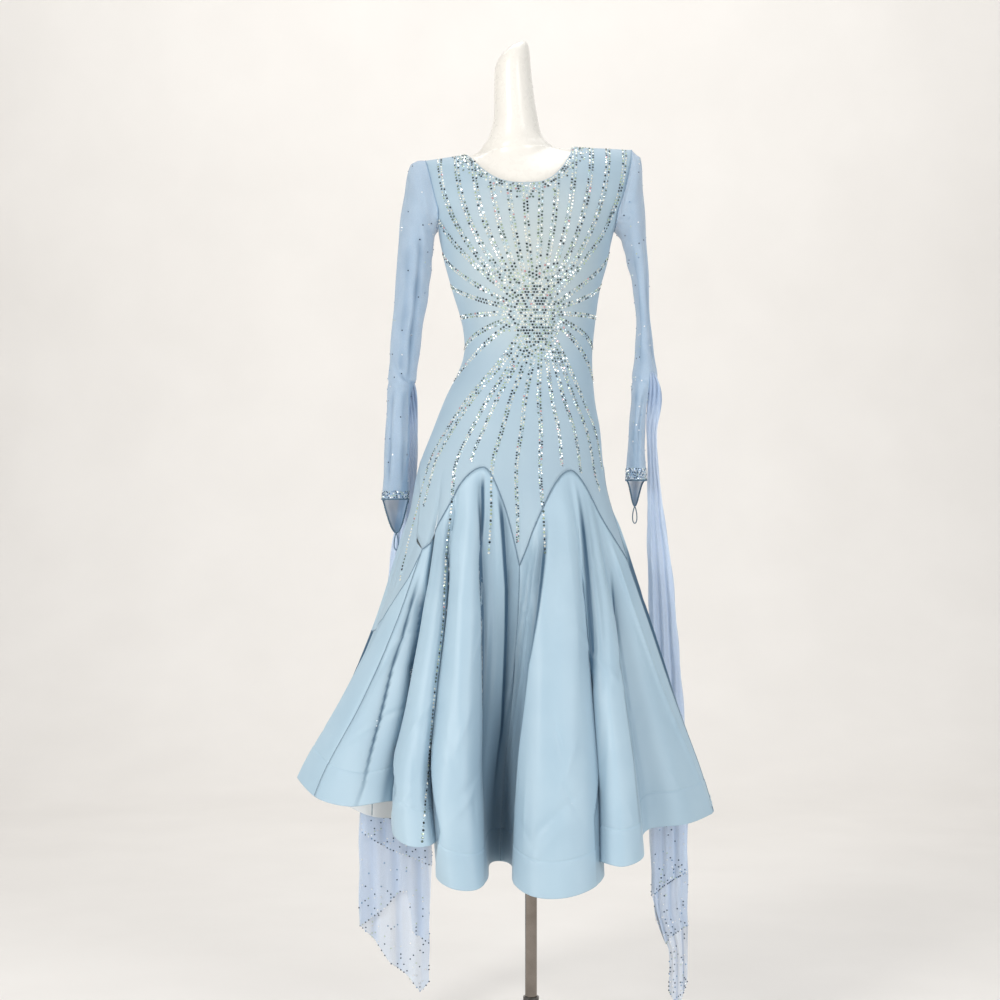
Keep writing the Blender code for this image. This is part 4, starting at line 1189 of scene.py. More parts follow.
def crease_relief(angle, height, metres_per_degree):
    """Height of knife folds and soft creases above the skirt's surface, and the painted shade beside knife
    edges.
    """
    relief = np.zeros_like(height)
    depth = np.zeros_like(height)
    for a0, h0, a1, h1, a2, h2, rise, width, edge in CREASES:
        middle = np.interp(-height, (-h0, -h1, -h2), (a0, a1, a2))
        across = angle_between(angle, middle) * metres_per_degree
        share = (h0 - height) / (h0 - h2)
        fade = np.clip(share / CREASE_START_FADE, 0.0, 1.0)
        fade = fade * fade * (3 - 2 * fade) * np.clip((CREASE_END - share) / CREASE_END_FADE, 0.0, 1.0)
        if edge:
            beside = across * edge
            rounded = np.sqrt(beside**2 + KNIFE_CREST**2) - KNIFE_CREST
            slope = np.exp(-rounded / np.where(beside > 0, width, KNIFE_EDGE))
            trough = bell(beside + KNIFE_TROUGH_WIDTH, KNIFE_TROUGH_WIDTH)
            relief += rise * KNIFE_GAIN * fade * (slope - KNIFE_TROUGH * trough)
            # Painted shade falling off beside each knife edge, and a painted dark line along it
            shade = np.exp(-np.maximum(-beside, 0.0) / (KNIFE_SHADE * width)) * (beside < KNIFE_SHADE_START)
            line = np.exp(-(((beside - KNIFE_SHADOW_LINE_PLACE) / KNIFE_SHADOW_LINE) ** 4))
            depth = np.maximum(depth, fade * np.maximum(shade, line))
        else:
            relief += rise * fade * bell(across, width)
    return relief, depth


def crumple_relief(angle, height, metres_per_degree):
    """Short shallow wrinkles at a slant, scattered over the skirt and closer near the hem."""
    rng = random.Random(CRUMPLE_SEED)
    relief = np.zeros_like(height)
    for _ in range(CRUMPLES):
        at = rng.uniform(HEM[0][0], HEM[-1][0])
        low = CRUMPLE_LOW + CRUMPLE_SPREAD * rng.random() ** CRUMPLE_CROWDING
        lean = rng.uniform(-CRUMPLE_LEAN, CRUMPLE_LEAN)
        length = rng.uniform(*CRUMPLE_LENGTHS)
        width = rng.uniform(*CRUMPLE_WIDTHS)
        rise = CRUMPLE_RISE * rng.uniform(*CRUMPLE_SHARES) * rng.choice((-1.0, 1.0))
        across = angle_between(angle, at) * metres_per_degree
        up = height - low
        along = up * math.cos(lean) + across * math.sin(lean)
        beside = across * math.cos(lean) - up * math.sin(lean)
        relief += rise * bell(along, length) * bell(beside, width)
    return relief


def skirt_surface(angle, height):
    """Outer points and normals of the skirt with creases and hem band, and the painted shade inside its
    folds.
    """
    points = dress_point(angle, height)
    normals = outward(angle, height)
    beside = dress_point(angle + SCALE_STEP, height) - dress_point(angle - SCALE_STEP, height)
    metres_per_degree = np.linalg.norm(beside, axis=-1) / (2 * SCALE_STEP)
    above_hem = height - hem_height(angle)
    below_seam = seam_height(angle) - height
    start = np.clip(below_seam / SEAM_FADE, 0.0, 1.0)
    relief, depth = crease_relief(angle, height, metres_per_degree)
    relief = (relief + crumple_relief(angle, height, metres_per_degree)) * start
    # Painted shade of the knife edges and the large folds, eased off near the hem
    ease = 1.0 - HEM_SHADE_EASE * np.exp(-np.maximum(above_hem, 0.0) / HEM_SHADE_EASE_REACH)
    depth = np.clip((depth * start + FOLD_SHADE_STRENGTH * large_fold_painted_shade(angle, height)) * ease, 0.0, 1.0)
    band = 1.0 / (1.0 + np.exp((above_hem - HEM_BAND) / HEM_BAND_STEP))
    relief += BAND_RAISE * band - HEM_STITCH_DEPTH * bell(above_hem - HEM_BAND, HEM_STITCH_WIDTH)
    relief -= BAND_RAISE * bell(below_seam, SEAM_DIP_WIDTH)
    return points + normals * relief[..., None], normals, depth


def godet_grid(start, end, top):
    """Columns of one godet and the height of each of its rows, from its upper edge to the hem."""
    count = round((end - start) / GODET_COLUMN)
    angles = start + (end - start) * np.arange(count + 1) / count
    low = hem_height(angles)
    upper = np.linspace(0.0, 1.0, GODET_ROWS)[:-1, None] ** GODET_ROW_POWER
    heights = top(angles) + (low + HEM_ROWS[0] - top(angles)) * upper
    return angles, np.concatenate([heights, low + np.array(HEM_ROWS)[:, None]])


def side_point_height(angles):
    """Lower edge of the bodice cloth where it runs down the right side in a point."""
    places, heights = zip(*SIDE_POINT)
    return np.minimum(np.interp(angles, places, heights), seam_height(angles) - SIDE_POINT_CLEAR)


def build_skirt_piece(name, node, angles, heights, mats):
    outer, normals, depth = skirt_surface(angles, heights)
    obj = wall(name, outer, outer - normals * CLOTH_THICKNESS, mats, depth)
    place_piece(obj, node)


def build_godets(satin, knit, lining):
    """Six godets, and the point of bodice cloth above the one at the right side."""
    for name, start, end in zip(GODETS, GODET_MARKS, GODET_MARKS[1:]):
        top = side_point_height if name == "side_right" else seam_height
        angles, heights = godet_grid(start, end, top)
        node = "godet_" + name
        build_skirt_piece(node + "_cloth", node, angles, heights, [satin, lining])
    high, low = seam_height(angles), side_point_height(angles)
    heights = high + (low - high) * np.linspace(0.0, 1.0, SIDE_POINT_ROWS)[:, None]
    build_skirt_piece("side_point_cloth", "godet_side_right", angles, heights, [knit, lining])


def build_seams(mat):
    """The raised godet seam round the hips, the one round the side point and those between the godets, in a
    dark painted shadow tone.
    """
    angles = np.linspace(GODET_MARKS[0], GODET_MARKS[-2], SEAM_STEPS)
    height = seam_height(angles)
    path = dress_point(angles, height) + outward(angles, height) * SEAM_RAISE
    tube_along("godet_seam", path, PIPING_RADIUS, mat)
    angles = np.linspace(GODET_MARKS[-2], GODET_MARKS[-1], SIDE_SEAM_STEPS)
    points, normals, _ = skirt_surface(angles, side_point_height(angles))
    tube_along("side_point_seam", points - normals * SIDE_SEAM_SINK, PIPING_RADIUS, mat)
    for name, angle in zip(GODET_JOINTS, GODET_MARKS):
        heights = np.linspace(float(seam_height(angle)), float(hem_height(angle)) + JOINT_END, JOINT_STEPS)
        points, normals, _ = skirt_surface(np.full(JOINT_STEPS, angle), heights)
        tube_along("godet_joint_" + name, points - normals * JOINT_SINK, PIPING_RADIUS, mat)


def armhole_loop(side):
    """The bodice's armhole edge: down its front from the shoulder, and up its back."""
    sign = 1.0 if side == "left" else -1.0
    half = len(UPPER_SHARES) - 1
    index = np.arange(SLEEVE_COLUMNS) * 2.0 * half / SLEEVE_COLUMNS
    shares = np.interp(np.abs(half - index), np.arange(half + 1), UPPER_SHARES)
    heights = ARMPIT + (RIDGE - ARMPIT) * shares
    reach = armhole_angle(heights)
    angles = np.where(index <= half, sign * reach, 180.0 - sign * reach)
    return dress_point(angles, heights)


def sleeve_tube(side, share, turn):
    """Rows of ellipses from the armhole to the cuff, and above them the head that joins the armhole."""
    rows = [(i, *row) for i, row in enumerate(SLEEVES[side])]
    values = curve(rows, share * (len(rows) - 1))
    outer_x, outer_z, inner_x, inner_z, depth, y = values.T[:, :, None]
    reach = (1 + np.cos(turn)) / 2
    tube = np.stack([inner_x + (outer_x - inner_x) * reach, y - depth * np.sin(turn) + 0 * reach,
                     inner_z + (outer_z - inner_z) * reach], axis=-1)
    t = np.linspace(0.0, 1.0, HEAD_ROWS + 1)[:-1, None, None]
    ahead = tube[0] - (tube[HEAD_LEAD_ROW] - tube[0]) * HEAD_LEAD
    head = armhole_loop(side) * (1 - t) ** 2 + ahead * 2 * t * (1 - t) + tube[0] * t**2
    return np.concatenate([head, tube])


def sleeve_relief(side, place, around):
    """Height of the sleeve's folds and fine ripple at shares of its length and of a turn round it."""
    relief = np.zeros(np.broadcast_shapes(place.shape, around.shape))
    for turn_from, share_from, turn_to, share_to, rise, width in SLEEVE_FOLDS[side]:
        t = (place - share_from) / (share_to - share_from)
        centre = turn_from + (turn_to - turn_from) * np.clip(t, 0.0, 1.0)
        off = (around - centre + 0.5) % 1.0 - 0.5
        fade = np.clip(np.minimum(t / SLEEVE_FOLD_START, (1 - t) / SLEEVE_FOLD_END), 0.0, 1.0)
        relief += rise * bell(off, width) * fade
    ripple = np.sin(place * RIPPLE_ALONG + around * RIPPLE_AROUND)
    return relief + RIPPLE_RISE * ripple * np.clip(place * RIPPLE_START, 0.0, 1.0)


def sleeve_grid(side):
    """Points of one sleeve with folds and the point over the hand, their normals, and the folds' depth,
    which darkens the net partly as painted shade.
    """
    share = np.linspace(0.0, 1.0, SLEEVE_ROWS)
    turn = round_turn(SLEEVE_COLUMNS)
    grid = sleeve_tube(side, share, turn)
    start = HEAD_ROWS + round(SLEEVE_ROWS * CUFF_POINT_START)
    tip = np.maximum(0.0, np.cos(turn - 2 * math.pi * CUFF_POINT_TURN)) ** CUFF_POINT_WIDTH[side]
    lower = np.clip((np.arange(len(grid)) - start) / (len(grid) - 1 - start), 0.0, 1.0)[:, None]
    grid[..., 2] -= CUFF_POINT[side] * lower * tip
    normals = grid_normals(grid, True)
    normals *= np.sign(((grid - grid.mean(axis=1, keepdims=True)) * normals).sum())
    place = np.concatenate([np.zeros(HEAD_ROWS), share])[:, None]
    around = (np.arange(SLEEVE_COLUMNS) / SLEEVE_COLUMNS)[None, :]
    relief = sleeve_relief(side, place, around)
    # The point over the hand and the folds close and darken the net, partly as painted shade
    flap = np.clip(lower * FLAP_GAIN - FLAP_START, 0.0, 1.0) * tip
    depth = np.clip(np.abs(relief) / SLEEVE_FOLD_FULL + flap * FLAP_DEPTH, 0.0, 1.0)
    return grid + normals * relief[..., None], normals, depth


def build_sleeve(side, mat, thread):
    grid, normals, depth = sleeve_grid(side)
    obj = single("sleeve_" + side + "_net", grid, mat, True, depth)
    place_piece(obj, "sleeve_" + side)
    tube_along("armhole_seam_" + side, armhole_loop(side), ARMHOLE_SEAM_RADIUS, mat, True)
    tube_along("cuff_edge_" + side, grid[-1], CUFF_EDGE_RADIUS, thread, True)
    return grid, normals


def float_low(side, layer, across):
    """Height of a layer's lower edge at a place across it."""
    places, heights = zip(*[row[1:] for row in FLOAT_HEMS[side] if row[0] == layer])
    return float(np.interp(across, places, heights))


def float_columns(side):
    """Place across, layer and lower edge of each column: three layers joined by the turns between them."""
    columns = []
    for layer, (name, way) in enumerate((("back", -1), ("front", 1), ("over", -1))):
        if layer:
            for turn in FLOAT_TURNS:
                place = -way * (TURN_REACH - TURN_BULGE * (turn + 0.5) ** 2)
                columns.append((place, layer + turn, float_low(side, name, -way)))
        for step in np.linspace(-LAYER_REACH, LAYER_REACH, LAYER_COLUMNS):
            columns.append((way * step, float(layer), float_low(side, name, way * step)))
    return np.array(columns).T


def float_grid(side):
    """A scarf of net hung from the elbow, folded in three layers, with long soft pleats."""
    mirror = 1.0 if side == "right" else -1.0
    rows = [(-row[0], *row[1:]) for row in FLOATS[side]]
    top = FLOATS[side][0][0]
    places, layers, lows = float_columns(side)
    z = top + (lows - top) * np.linspace(0.0, 1.0, FLOAT_ROWS)[:, None]
    left, right, y, spacing = np.moveaxis(curve(rows, -z), -1, 0)
    fall = np.clip((top - z) / PLEAT_START, 0.0, 1.0)
    gather = bell(top - z - GATHER_DROP, GATHER_LENGTH)
    depth = y - (layers - 1.0) * spacing
    depth += GATHER_RISE * gather * np.sin(places * GATHER_PLEATS + z * GATHER_SLANT + layers)
    x = (left + right) / 2 + (right - left) / 2 * places * mirror
    wave = EDGE_WAVE * np.sin(z * EDGE_WAVES + layers * 2.0)
    x += wave * np.clip((top - z) / EDGE_WAVE_START, 0.0, 1.0) * places
    pleats = sum(rise * np.sin(places * across + layers * by_layer + z * down)
                 for rise, across, by_layer, down in PLEATS)
    # Where pleats and gathering close the net and darken it, partly as painted shade
    close = np.clip(pleats / PLEAT_FULL, 0.0, 1.0) * fall + GATHER_COVER * gather
    return np.stack([x, depth + pleats * fall, z], axis=-1), close


def build_float(side, mat):
    grid, depth = float_grid(side)
    obj = single("float_" + side + "_net", grid, mat, False, depth)
    place_piece(obj, "float_" + side)
    return grid


def build_loop(side, tip, mat):
    """The finger loop that hangs from a cuff's point."""
    turn = round_turn(LOOP_POINTS)
    width = LOOP_HALF_WIDTH * np.sin(turn) * (1.0 - LOOP_TAPER - LOOP_TAPER * np.cos(turn))
    path = np.stack([tip[0] + width, np.full(LOOP_POINTS, tip[1]),
                     tip[2] - LOOP_DROP + LOOP_HALF_HEIGHT * np.cos(turn)], axis=-1)
    node = "finger_loop_" + side
    tube_along(node + "_cord", path, LOOP_THREAD, mat, True, node)


# Form and stand

def form_ring(height):
    """One ring of the form's torso, inside the dress."""
    cap = max(0.0, (height - CAP_START) / CAP_LENGTH) * math.pi / 2
    hip = max(0.0, (HIP_TAPER_START - height) / HIP_TAPER_LENGTH)
    level = CAP_START + (SHOULDER_LEVEL - CAP_START) * math.sin(cap) if cap else height
    centre, half, front, back = curve(SECTIONS, level)
    inset = FORM_INSET + HIP_TAPER * hip**HIP_TAPER_POWER
    side = inset + SHOULDER_INSET * min(max((height - INSET_START) / INSET_LENGTH, 0.0), 1.0) ** INSET_POWER
    turn = round_turn(FORM_COLUMNS)
    facing = np.where(np.cos(turn) > TINY, 1.0, -1.0)
    x = centre + (half - side) * np.sin(turn)
    depth = (np.where(facing > 0, front, back) - inset) * np.abs(np.cos(turn))
    z = np.full(FORM_COLUMNS, height)
    if cap:
        across = np.sqrt(np.maximum(0.0, 1.0 - ((x - NECK_MIDDLE) / NECK_HALF_WIDTH) ** 2))
        neck = across * np.where(facing > 0, NECK_FRONT, NECK_BACK)
        shoulder = (CAP_DEPTH - inset) * math.cos(cap) * np.abs(np.cos(turn))
        depth = (shoulder**NECK_BLEND + neck**NECK_BLEND) ** (1 / NECK_BLEND)
        z = CAP_START + (shoulder_top(x) - SHOULDER_SEAT - CAP_START) * math.sin(cap)
    return np.stack([x, -facing * depth, z], axis=-1)


def neck_ring(index, shoulder_ring):
    """One ring of the neck. The first follow the columns of the shoulder ring below, the next grow even."""
    height, centre, half, front, back = NECK_RINGS[index]
    even = min((index + NECK_FIRST_SHARE) / NECK_EVEN_RINGS, 1.0)
    lift = max(0.0, height - NECK_SLANT_START) / (NECK_RINGS[-1][0] - NECK_SLANT_START) * NECK_TOP_SLANT
    turn = round_turn(FORM_COLUMNS)
    below = np.arcsin(np.clip((shoulder_ring[:, 0] - centre) / half, -1.0, 1.0))
    below = np.where(np.cos(turn) < -TINY, math.pi - below, below)
    past = (np.cos(turn) >= -TINY) & (np.arange(FORM_COLUMNS) > FORM_COLUMNS / 2)
    below = np.where(past, below + 2 * math.pi, below)
    turn = turn * even + below * (1.0 - even)
    x = centre + half * np.sin(turn)
    z = height + lift * (x - centre - NECK_SLANT_MIDDLE)
    if index == 0:
        z = shoulder_top(x) - SHOULDER_SEAT
    return np.stack([x, -np.where(np.cos(turn) > 0, front, back) * np.cos(turn), z], axis=-1)


def build_form(mat):
    """The form as a smooth closed body, subdivided from the CAD part's own rings."""
    heights = [FORM_LOW + (CAP_START - FORM_LOW) * i / BODY_RINGS for i in range(BODY_RINGS)]
    heights += [CAP_START + CAP_LENGTH * share for share in CAP_RING_SHARES]
    rings = [form_ring(height) for height in heights]
    shoulder_ring = rings[-1]
    rings += [neck_ring(index, shoulder_ring) for index in range(len(NECK_RINGS))]
    middle = rings[0].mean(axis=0)
    grid = np.array([middle + (rings[0] - middle) * UNDERSIDE_SHARE] + rings)
    points = np.concatenate([grid.reshape(-1, 3), grid[:1].mean(axis=1), grid[-1:].mean(axis=1)])
    faces = grid_faces(len(grid), FORM_COLUMNS, True).tolist()
    count = len(grid) * FORM_COLUMNS
    for k in range(FORM_COLUMNS):
        beside = (k + 1) % FORM_COLUMNS
        faces.append([beside, k, count])
        faces.append([count - FORM_COLUMNS + k, count - FORM_COLUMNS + beside, count + 1])
    mesh = bpy.data.meshes.new("form_torso_gloss")
    mesh.from_pydata(points.tolist(), [], faces)
    mesh.materials.append(mat)
    mesh.shade_smooth()
    obj = add_object("form_torso_gloss", mesh)
    smooth = obj.modifiers.new("smooth", "SUBSURF")
    smooth.levels = smooth.render_levels = FORM_SMOOTHING
    place_piece(obj, "form_torso")


def finish_stand(frame):
    """Steel looks and rounded edges for the pole, its collar and the base plate."""
    steel = steel_material("stand_steel", (0.30, 0.265, 0.235), (0.22, 0.19, 0.165), 0.08, 0.18)
    collar = steel_material("collar_steel", (0.16, 0.15, 0.145), (0.08, 0.075, 0.07), 0.25, 0.40)
    for name, mat in (("base_plate", steel), ("pole", steel), ("pole_collar", collar)):
        node = frame["nodes"][name]
        node.data.materials.clear()
        node.data.materials.append(mat)
        edge = node.modifiers.new("edge", "BEVEL")
        edge.width = STEEL_EDGE
        edge.segments = 2


# Stones

class StoneSet:
    """Stones of one piece, each with a place, a facing direction and a radius, kept clear of each other."""

    def __init__(self, seed):
        self.rng = random.Random(seed)
        self.places, self.normals, self.radii = [], [], []
        self.cells = {}

    def add(self, place, normal, radius):
        """Add a stone unless it would touch one that is there. Cells keep the search short."""
        home = tuple(int(math.floor(v / STONE_CELL)) for v in place)
        for step in itertools.product((-1, 0, 1), repeat=3):
            for k in self.cells.get(tuple(a + b for a, b in zip(home, step)), ()):
                if np.linalg.norm(self.places[k] - place) < (self.radii[k] + radius) * STONE_GAP:
                    return
        self.cells.setdefault(home, []).append(len(self.places))
        self.places.append(np.array(place))
        self.normals.append(np.array(normal))
        self.radii.append(radius)

    def stone_axes(self, normal):
        """Right, up and out directions of one stone, a little tilted and turned at random."""
        normal = normal + np.array([self.rng.uniform(-STONE_TILT, STONE_TILT) for _ in range(3)])
        normal /= np.linalg.norm(normal)
        helper = np.array([0.0, 0.0, 1.0]) if abs(normal[2]) < 0.9 else np.array([1.0, 0.0, 0.0])
        side = np.cross(helper, normal)
        side /= np.linalg.norm(side)
        spin = self.rng.random() * math.pi
        right = side * math.cos(spin) + np.cross(normal, side) * math.sin(spin)
        return np.array([right, np.cross(normal, right), normal])

    def build(self, name, mat, palette):
        """One mesh of cut stones: slanted facets round a flat table, each facet with its own tone and
        painted glint.
        """
        sides = STONE_SIDES
        turn = round_turn(sides)
        ring = np.stack([np.cos(turn), np.sin(turn), np.zeros(sides)], axis=-1)
        template = np.concatenate([ring, ring * TABLE_SHARE + np.array([0.0, 0.0, STONE_HEIGHT])])
        facets = [[k, (k + 1) % sides, sides + (k + 1) % sides, sides + k] for k in range(sides)]
        facets.append(list(range(sides, 2 * sides)))
        points, faces, facet_tones_and_glints = [], [], []
        for k, (place, normal, radius) in enumerate(zip(self.places, self.normals, self.radii)):
            points.append(place + radius * (template @ self.stone_axes(normal)))
            faces += [[2 * sides * k + i for i in facet] for facet in facets]
            # The stone's tone and each facet's painted glint and dark reflection
            tone = self.rng.choices(palette, weights=[row[3] for row in palette])[0][:3]
            for _ in facets:
                gain = self.rng.uniform(*FACET_GLINT_SPREAD)
                facet_tones_and_glints.append([min(1.0, value * gain) for value in tone] + [1.0])
        mesh = bpy.data.meshes.new(name)
        mesh.from_pydata(np.concatenate(points).tolist(), [], faces)
        mesh.materials.append(mat)
        layer = mesh.attributes.new("facet", "FLOAT_COLOR", "FACE")
        layer.data.foreach_set("color", np.array(facet_tones_and_glints, np.float32).ravel())
        place_piece(add_object(name, mesh))


def level_of(x, z):
    """The height that dress_point needs for a place seen at this x and z."""
    if z <= CAP_START:
        return z
    rise = min((z - CAP_START) / (float(shoulder_top(x)) - CAP_START), 1.0)
    return CAP_START + CAP_LENGTH * math.asin(rise) * 2 / math.pi


def front_angle(x, height):
    """The angle of the body's front at this x and height."""
    centre, half, _, _ = curve(SECTIONS, min(height, SHOULDER_LEVEL))
    return math.degrees(math.asin(min(max((x - centre) / half, -SIDE_LIMIT), SIDE_LIMIT)))


def on_front(angle, height):
    """Whether a place lies on the bodice's front, clear of the neckline and the armholes."""
    reach = float(armhole_angle(height))
    top = float(neckline_height(np.array(angle * 90.0 / reach), FRONT_NECK))
    return abs(angle) < reach - ARMHOLE_CLEAR and height < top - NECK_CLEAR


def hub_share(x, z):
    """Distance from the hub's middle as a share of its size."""
    return math.hypot((x - HUB_X) / HUB_HALF_WIDTH, (z - HUB_HEIGHT) / HUB_HALF_HEIGHT)


def surface_for(path):
    """Dress points, lifted to the cloth's face, and normals at (angle, height) places."""
    angle, height = path[:, 0], path[:, 1]
    below = height < seam_height(angle)
    plain, plain_normals = dress_point(angle, height), outward(angle, height)
    skirt, _, _ = skirt_surface(angle, height)
    return np.where(below[:, None], skirt, plain) + plain_normals * BODICE_STONE_LIFT, plain_normals


def ray_stones(stones, angles, heights, sizes, offsets, limit=None):
    """Two staggered rows of stones along a path, which close up to one row as the offset falls."""
    path = np.stack([angles, heights], axis=1)
    points, normals = surface_for(path)
    steps = distances(points)
    above_seam = heights - seam_height(angles)
    total = steps[-1]
    at, k = 0.0, 0
    while at < total:
        radius, offset = (np.interp(at / total, [0.0, 1.0], pair) for pair in (sizes, offsets))
        below_seam = np.interp(at, steps, above_seam) < 0
        if below_seam:
            radius, offset = SKIRT_STONE_RADIUS, 0.0
        place, normal = at_distance(at, steps, points), at_distance(at, steps, normals)
        ahead = at_distance(min(at + LOOK_AHEAD, total), steps, points) - place
        angle, height = at_distance(at, steps, path)
        hidden = hub_share(place[0], place[2]) < HUB_CORE or height < hem_height(angle) + HEM_CLEAR
        if np.linalg.norm(ahead) > TINY and not hidden and (limit is None or limit(angle, height)):
            side = np.cross(normal, ahead)
            side /= np.linalg.norm(side)
            wobble = stones.rng.uniform(-STONE_WOBBLE, STONE_WOBBLE)
            stones.add(place + side * (offset * (1 if k % 2 else -1) + wobble), normal, radius)
        step = STONE_SPACING * 0.5 * radius / STONE_RADIUS * (1.0 if offset > TWO_ROWS_FROM else 2.0)
        at += SKIRT_STONE_PITCH if below_seam else step
        k += 1


def upper_rays(stones):
    """Rays that fan out from the hub to the shoulders and the neckline."""
    t = np.linspace(0.0, 1.0, RAY_STEPS)
    for k in range(UPPER_RAYS):
        end_x = UPPER_RAY_FROM + UPPER_RAY_STEP * k
        end_z = float(shoulder_top(end_x)) - RIDGE_CLEAR
        x = HUB_X + (end_x - HUB_X) * (1 - (1 - t) ** UPPER_RAY_BEND)
        z = HUB_HEIGHT + (end_z - HUB_HEIGHT) * t
        levels = np.array([level_of(*place) for place in zip(x, z)])
        angles = np.array([front_angle(*place) for place in zip(x, levels)])
        ray_stones(stones, angles, levels, UPPER_RAY_SIZES, (ROW_OFFSET, ROW_OFFSET), on_front)


def side_rays(stones):
    """Rays that run round from the hub to the side seams."""
    hub_angle = front_angle(HUB_X, HUB_HEIGHT)
    t = np.linspace(0.0, 1.0, RAY_STEPS)
    low, high = SIDE_RAY_HEIGHTS
    for side in (-1.0, 1.0):
        for k in range(SIDE_RAYS):
            end = low + (high - low) * k / (SIDE_RAYS - 1)
            height = HUB_HEIGHT + (end - HUB_HEIGHT) * t**SIDE_RAY_BEND
            angle = hub_angle + (side * SIDE_RAY_REACH - hub_angle) * t
            ray_stones(stones, angle, height, SIDE_RAY_SIZES, SIDE_RAY_OFFSETS)


def lower_rays(stones):
    """Rays that run down to the godet seam, and the long ones that go on below it."""
    hub_angle = front_angle(HUB_X, HUB_HEIGHT)
    t = np.linspace(0.0, 1.0, RAY_STEPS)
    for k, end in enumerate(LOWER_RAY_ENDS):
        height = HUB_HEIGHT + (end - HUB_HEIGHT) * t
        hip = np.clip((HUB_HEIGHT - height) / (HUB_HEIGHT - FOLD_START), 0.0, 1.0)
        turn = 1 - (1 - hip) ** LOWER_RAY_BEND
        end_angle = LOWER_RAY_FROM + LOWER_RAY_STEP * k
        if k in LONG_RAYS:
            end_angle = LONG_RAYS[k][0][0]
            turn = turn / turn[-1]
        angle = hub_angle + (end_angle - hub_angle) * turn
        ray_stones(stones, angle, height, LOWER_RAY_SIZES, LOWER_RAY_OFFSETS)
    for path in LONG_RAYS.values():
        places, heights = np.array(path).T
        height = np.linspace(heights[0], heights[-1], LONG_RAY_STEPS)
        ray_stones(stones, np.interp(-height, -heights, places), height, LONG_RAY_SIZES, (0.0, 0.0))


def hub_stones(stones):
    """The close pack of stones that the rays leave from, loose at its edge."""
    rows = int(HUB_HALF_HEIGHT * 2 / HUB_PITCH)
    columns = int(HUB_HALF_WIDTH * 2 / HUB_PITCH)
    for r in range(rows + 1):
        z = HUB_HEIGHT - HUB_HALF_HEIGHT + 2 * HUB_HALF_HEIGHT * r / rows
        for c in range(columns + 1):
            x = HUB_X - HUB_HALF_WIDTH + 2 * HUB_HALF_WIDTH * (c + 0.5 * (r % 2)) / columns
            if hub_share(x, z) < HUB_CORE + (1.0 - HUB_CORE) * stones.rng.random():
                points, normals = surface_for(np.array([(front_angle(x, z), z)]))
                stones.add(points[0], normals[0], HUB_STONE_RADIUS)


def neckline_stones(stones):
    """Close rows round the front neckline, then a few loose stones below them."""
    turn = np.linspace(0.0, 1.0, NECK_STEPS)
    first, last = sorted((FRONT_NECK["left"], FRONT_NECK["right"]))
    panel = np.where(turn < 0.5, first * np.cos(turn * math.pi), last * -np.cos(turn * math.pi))
    height = neckline_height(panel, FRONT_NECK)
    angle = panel * armhole_angle(height) / 90.0
    edge = dress_point(angle, height)
    steps = distances(edge)
    inward = np.cross(outward(angle, height), np.gradient(edge, axis=0))
    inward /= np.linalg.norm(inward, axis=1, keepdims=True)
    inward *= np.sign(-inward[len(inward) // 2, 2])
    turn_step = dress_point(angle + NECK_TURN_STEP, height) - edge
    rise_step = dress_point(angle, height + NECK_RISE_STEP) - edge
    for row in range(NECK_CLOSE_ROWS + NECK_LOOSE_ROWS):
        offset = NECK_FIRST_ROW + NECK_ROW_PITCH * row
        kept = NECK_LOOSE_SHARE - NECK_LOOSE_DROP * (row - NECK_CLOSE_ROWS)
        for at in np.arange(NECK_STONE_PITCH / 2 * (row % 2), steps[-1], NECK_STONE_PITCH):
            if row >= NECK_CLOSE_ROWS and stones.rng.random() > kept:
                continue
            k = min(int(np.searchsorted(steps, at)), len(edge) - 1)
            moves = np.stack([turn_step[k], rise_step[k]], axis=1)
            share = np.linalg.lstsq(moves, inward[k] * offset, rcond=None)[0]
            here = np.array([(angle[k] + share[0] * NECK_TURN_STEP, height[k] + share[1] * NECK_RISE_STEP)])
            points, facing = surface_for(here)
            stones.add(points[0], facing[0], NECK_STONE_RADIUS)


def build_bodice_stones(mat):
    """The sunburst on the bodice's front and its rays down the skirt."""
    stones = StoneSet(STONE_SEED)
    upper_rays(stones)
    side_rays(stones)
    lower_rays(stones)
    hub_stones(stones)
    neckline_stones(stones)
    stones.build("stones_bodice", mat, STONE_AND_GLINT_TONES)


def cuff_edge_stones(stones, grid, normals):
    """Two rows of stones along the lower edge of the cuff and its point."""
    edge = np.concatenate([grid[-1], grid[-1, :1]])
    facing = np.concatenate([normals[CUFF_FACING_ROW], normals[CUFF_FACING_ROW, :1]])
    centre = grid[CUFF_CENTRE_ROW].mean(axis=0)
    steps = distances(edge)
    for inset, stagger in ((0.0, 0.0), (CUFF_ROW_INSET, 0.5)):
        for at in np.arange(CUFF_EDGE_PITCH * stagger, steps[-1], CUFF_EDGE_PITCH):
            place, normal = at_distance(at, steps, edge), at_distance(at, steps, facing)
            inward = centre - place
            inward /= np.linalg.norm(inward)
            stones.add(place + inward * inset + normal * CUFF_STONE_LIFT, normal, CUFF_STONE_RADIUS)


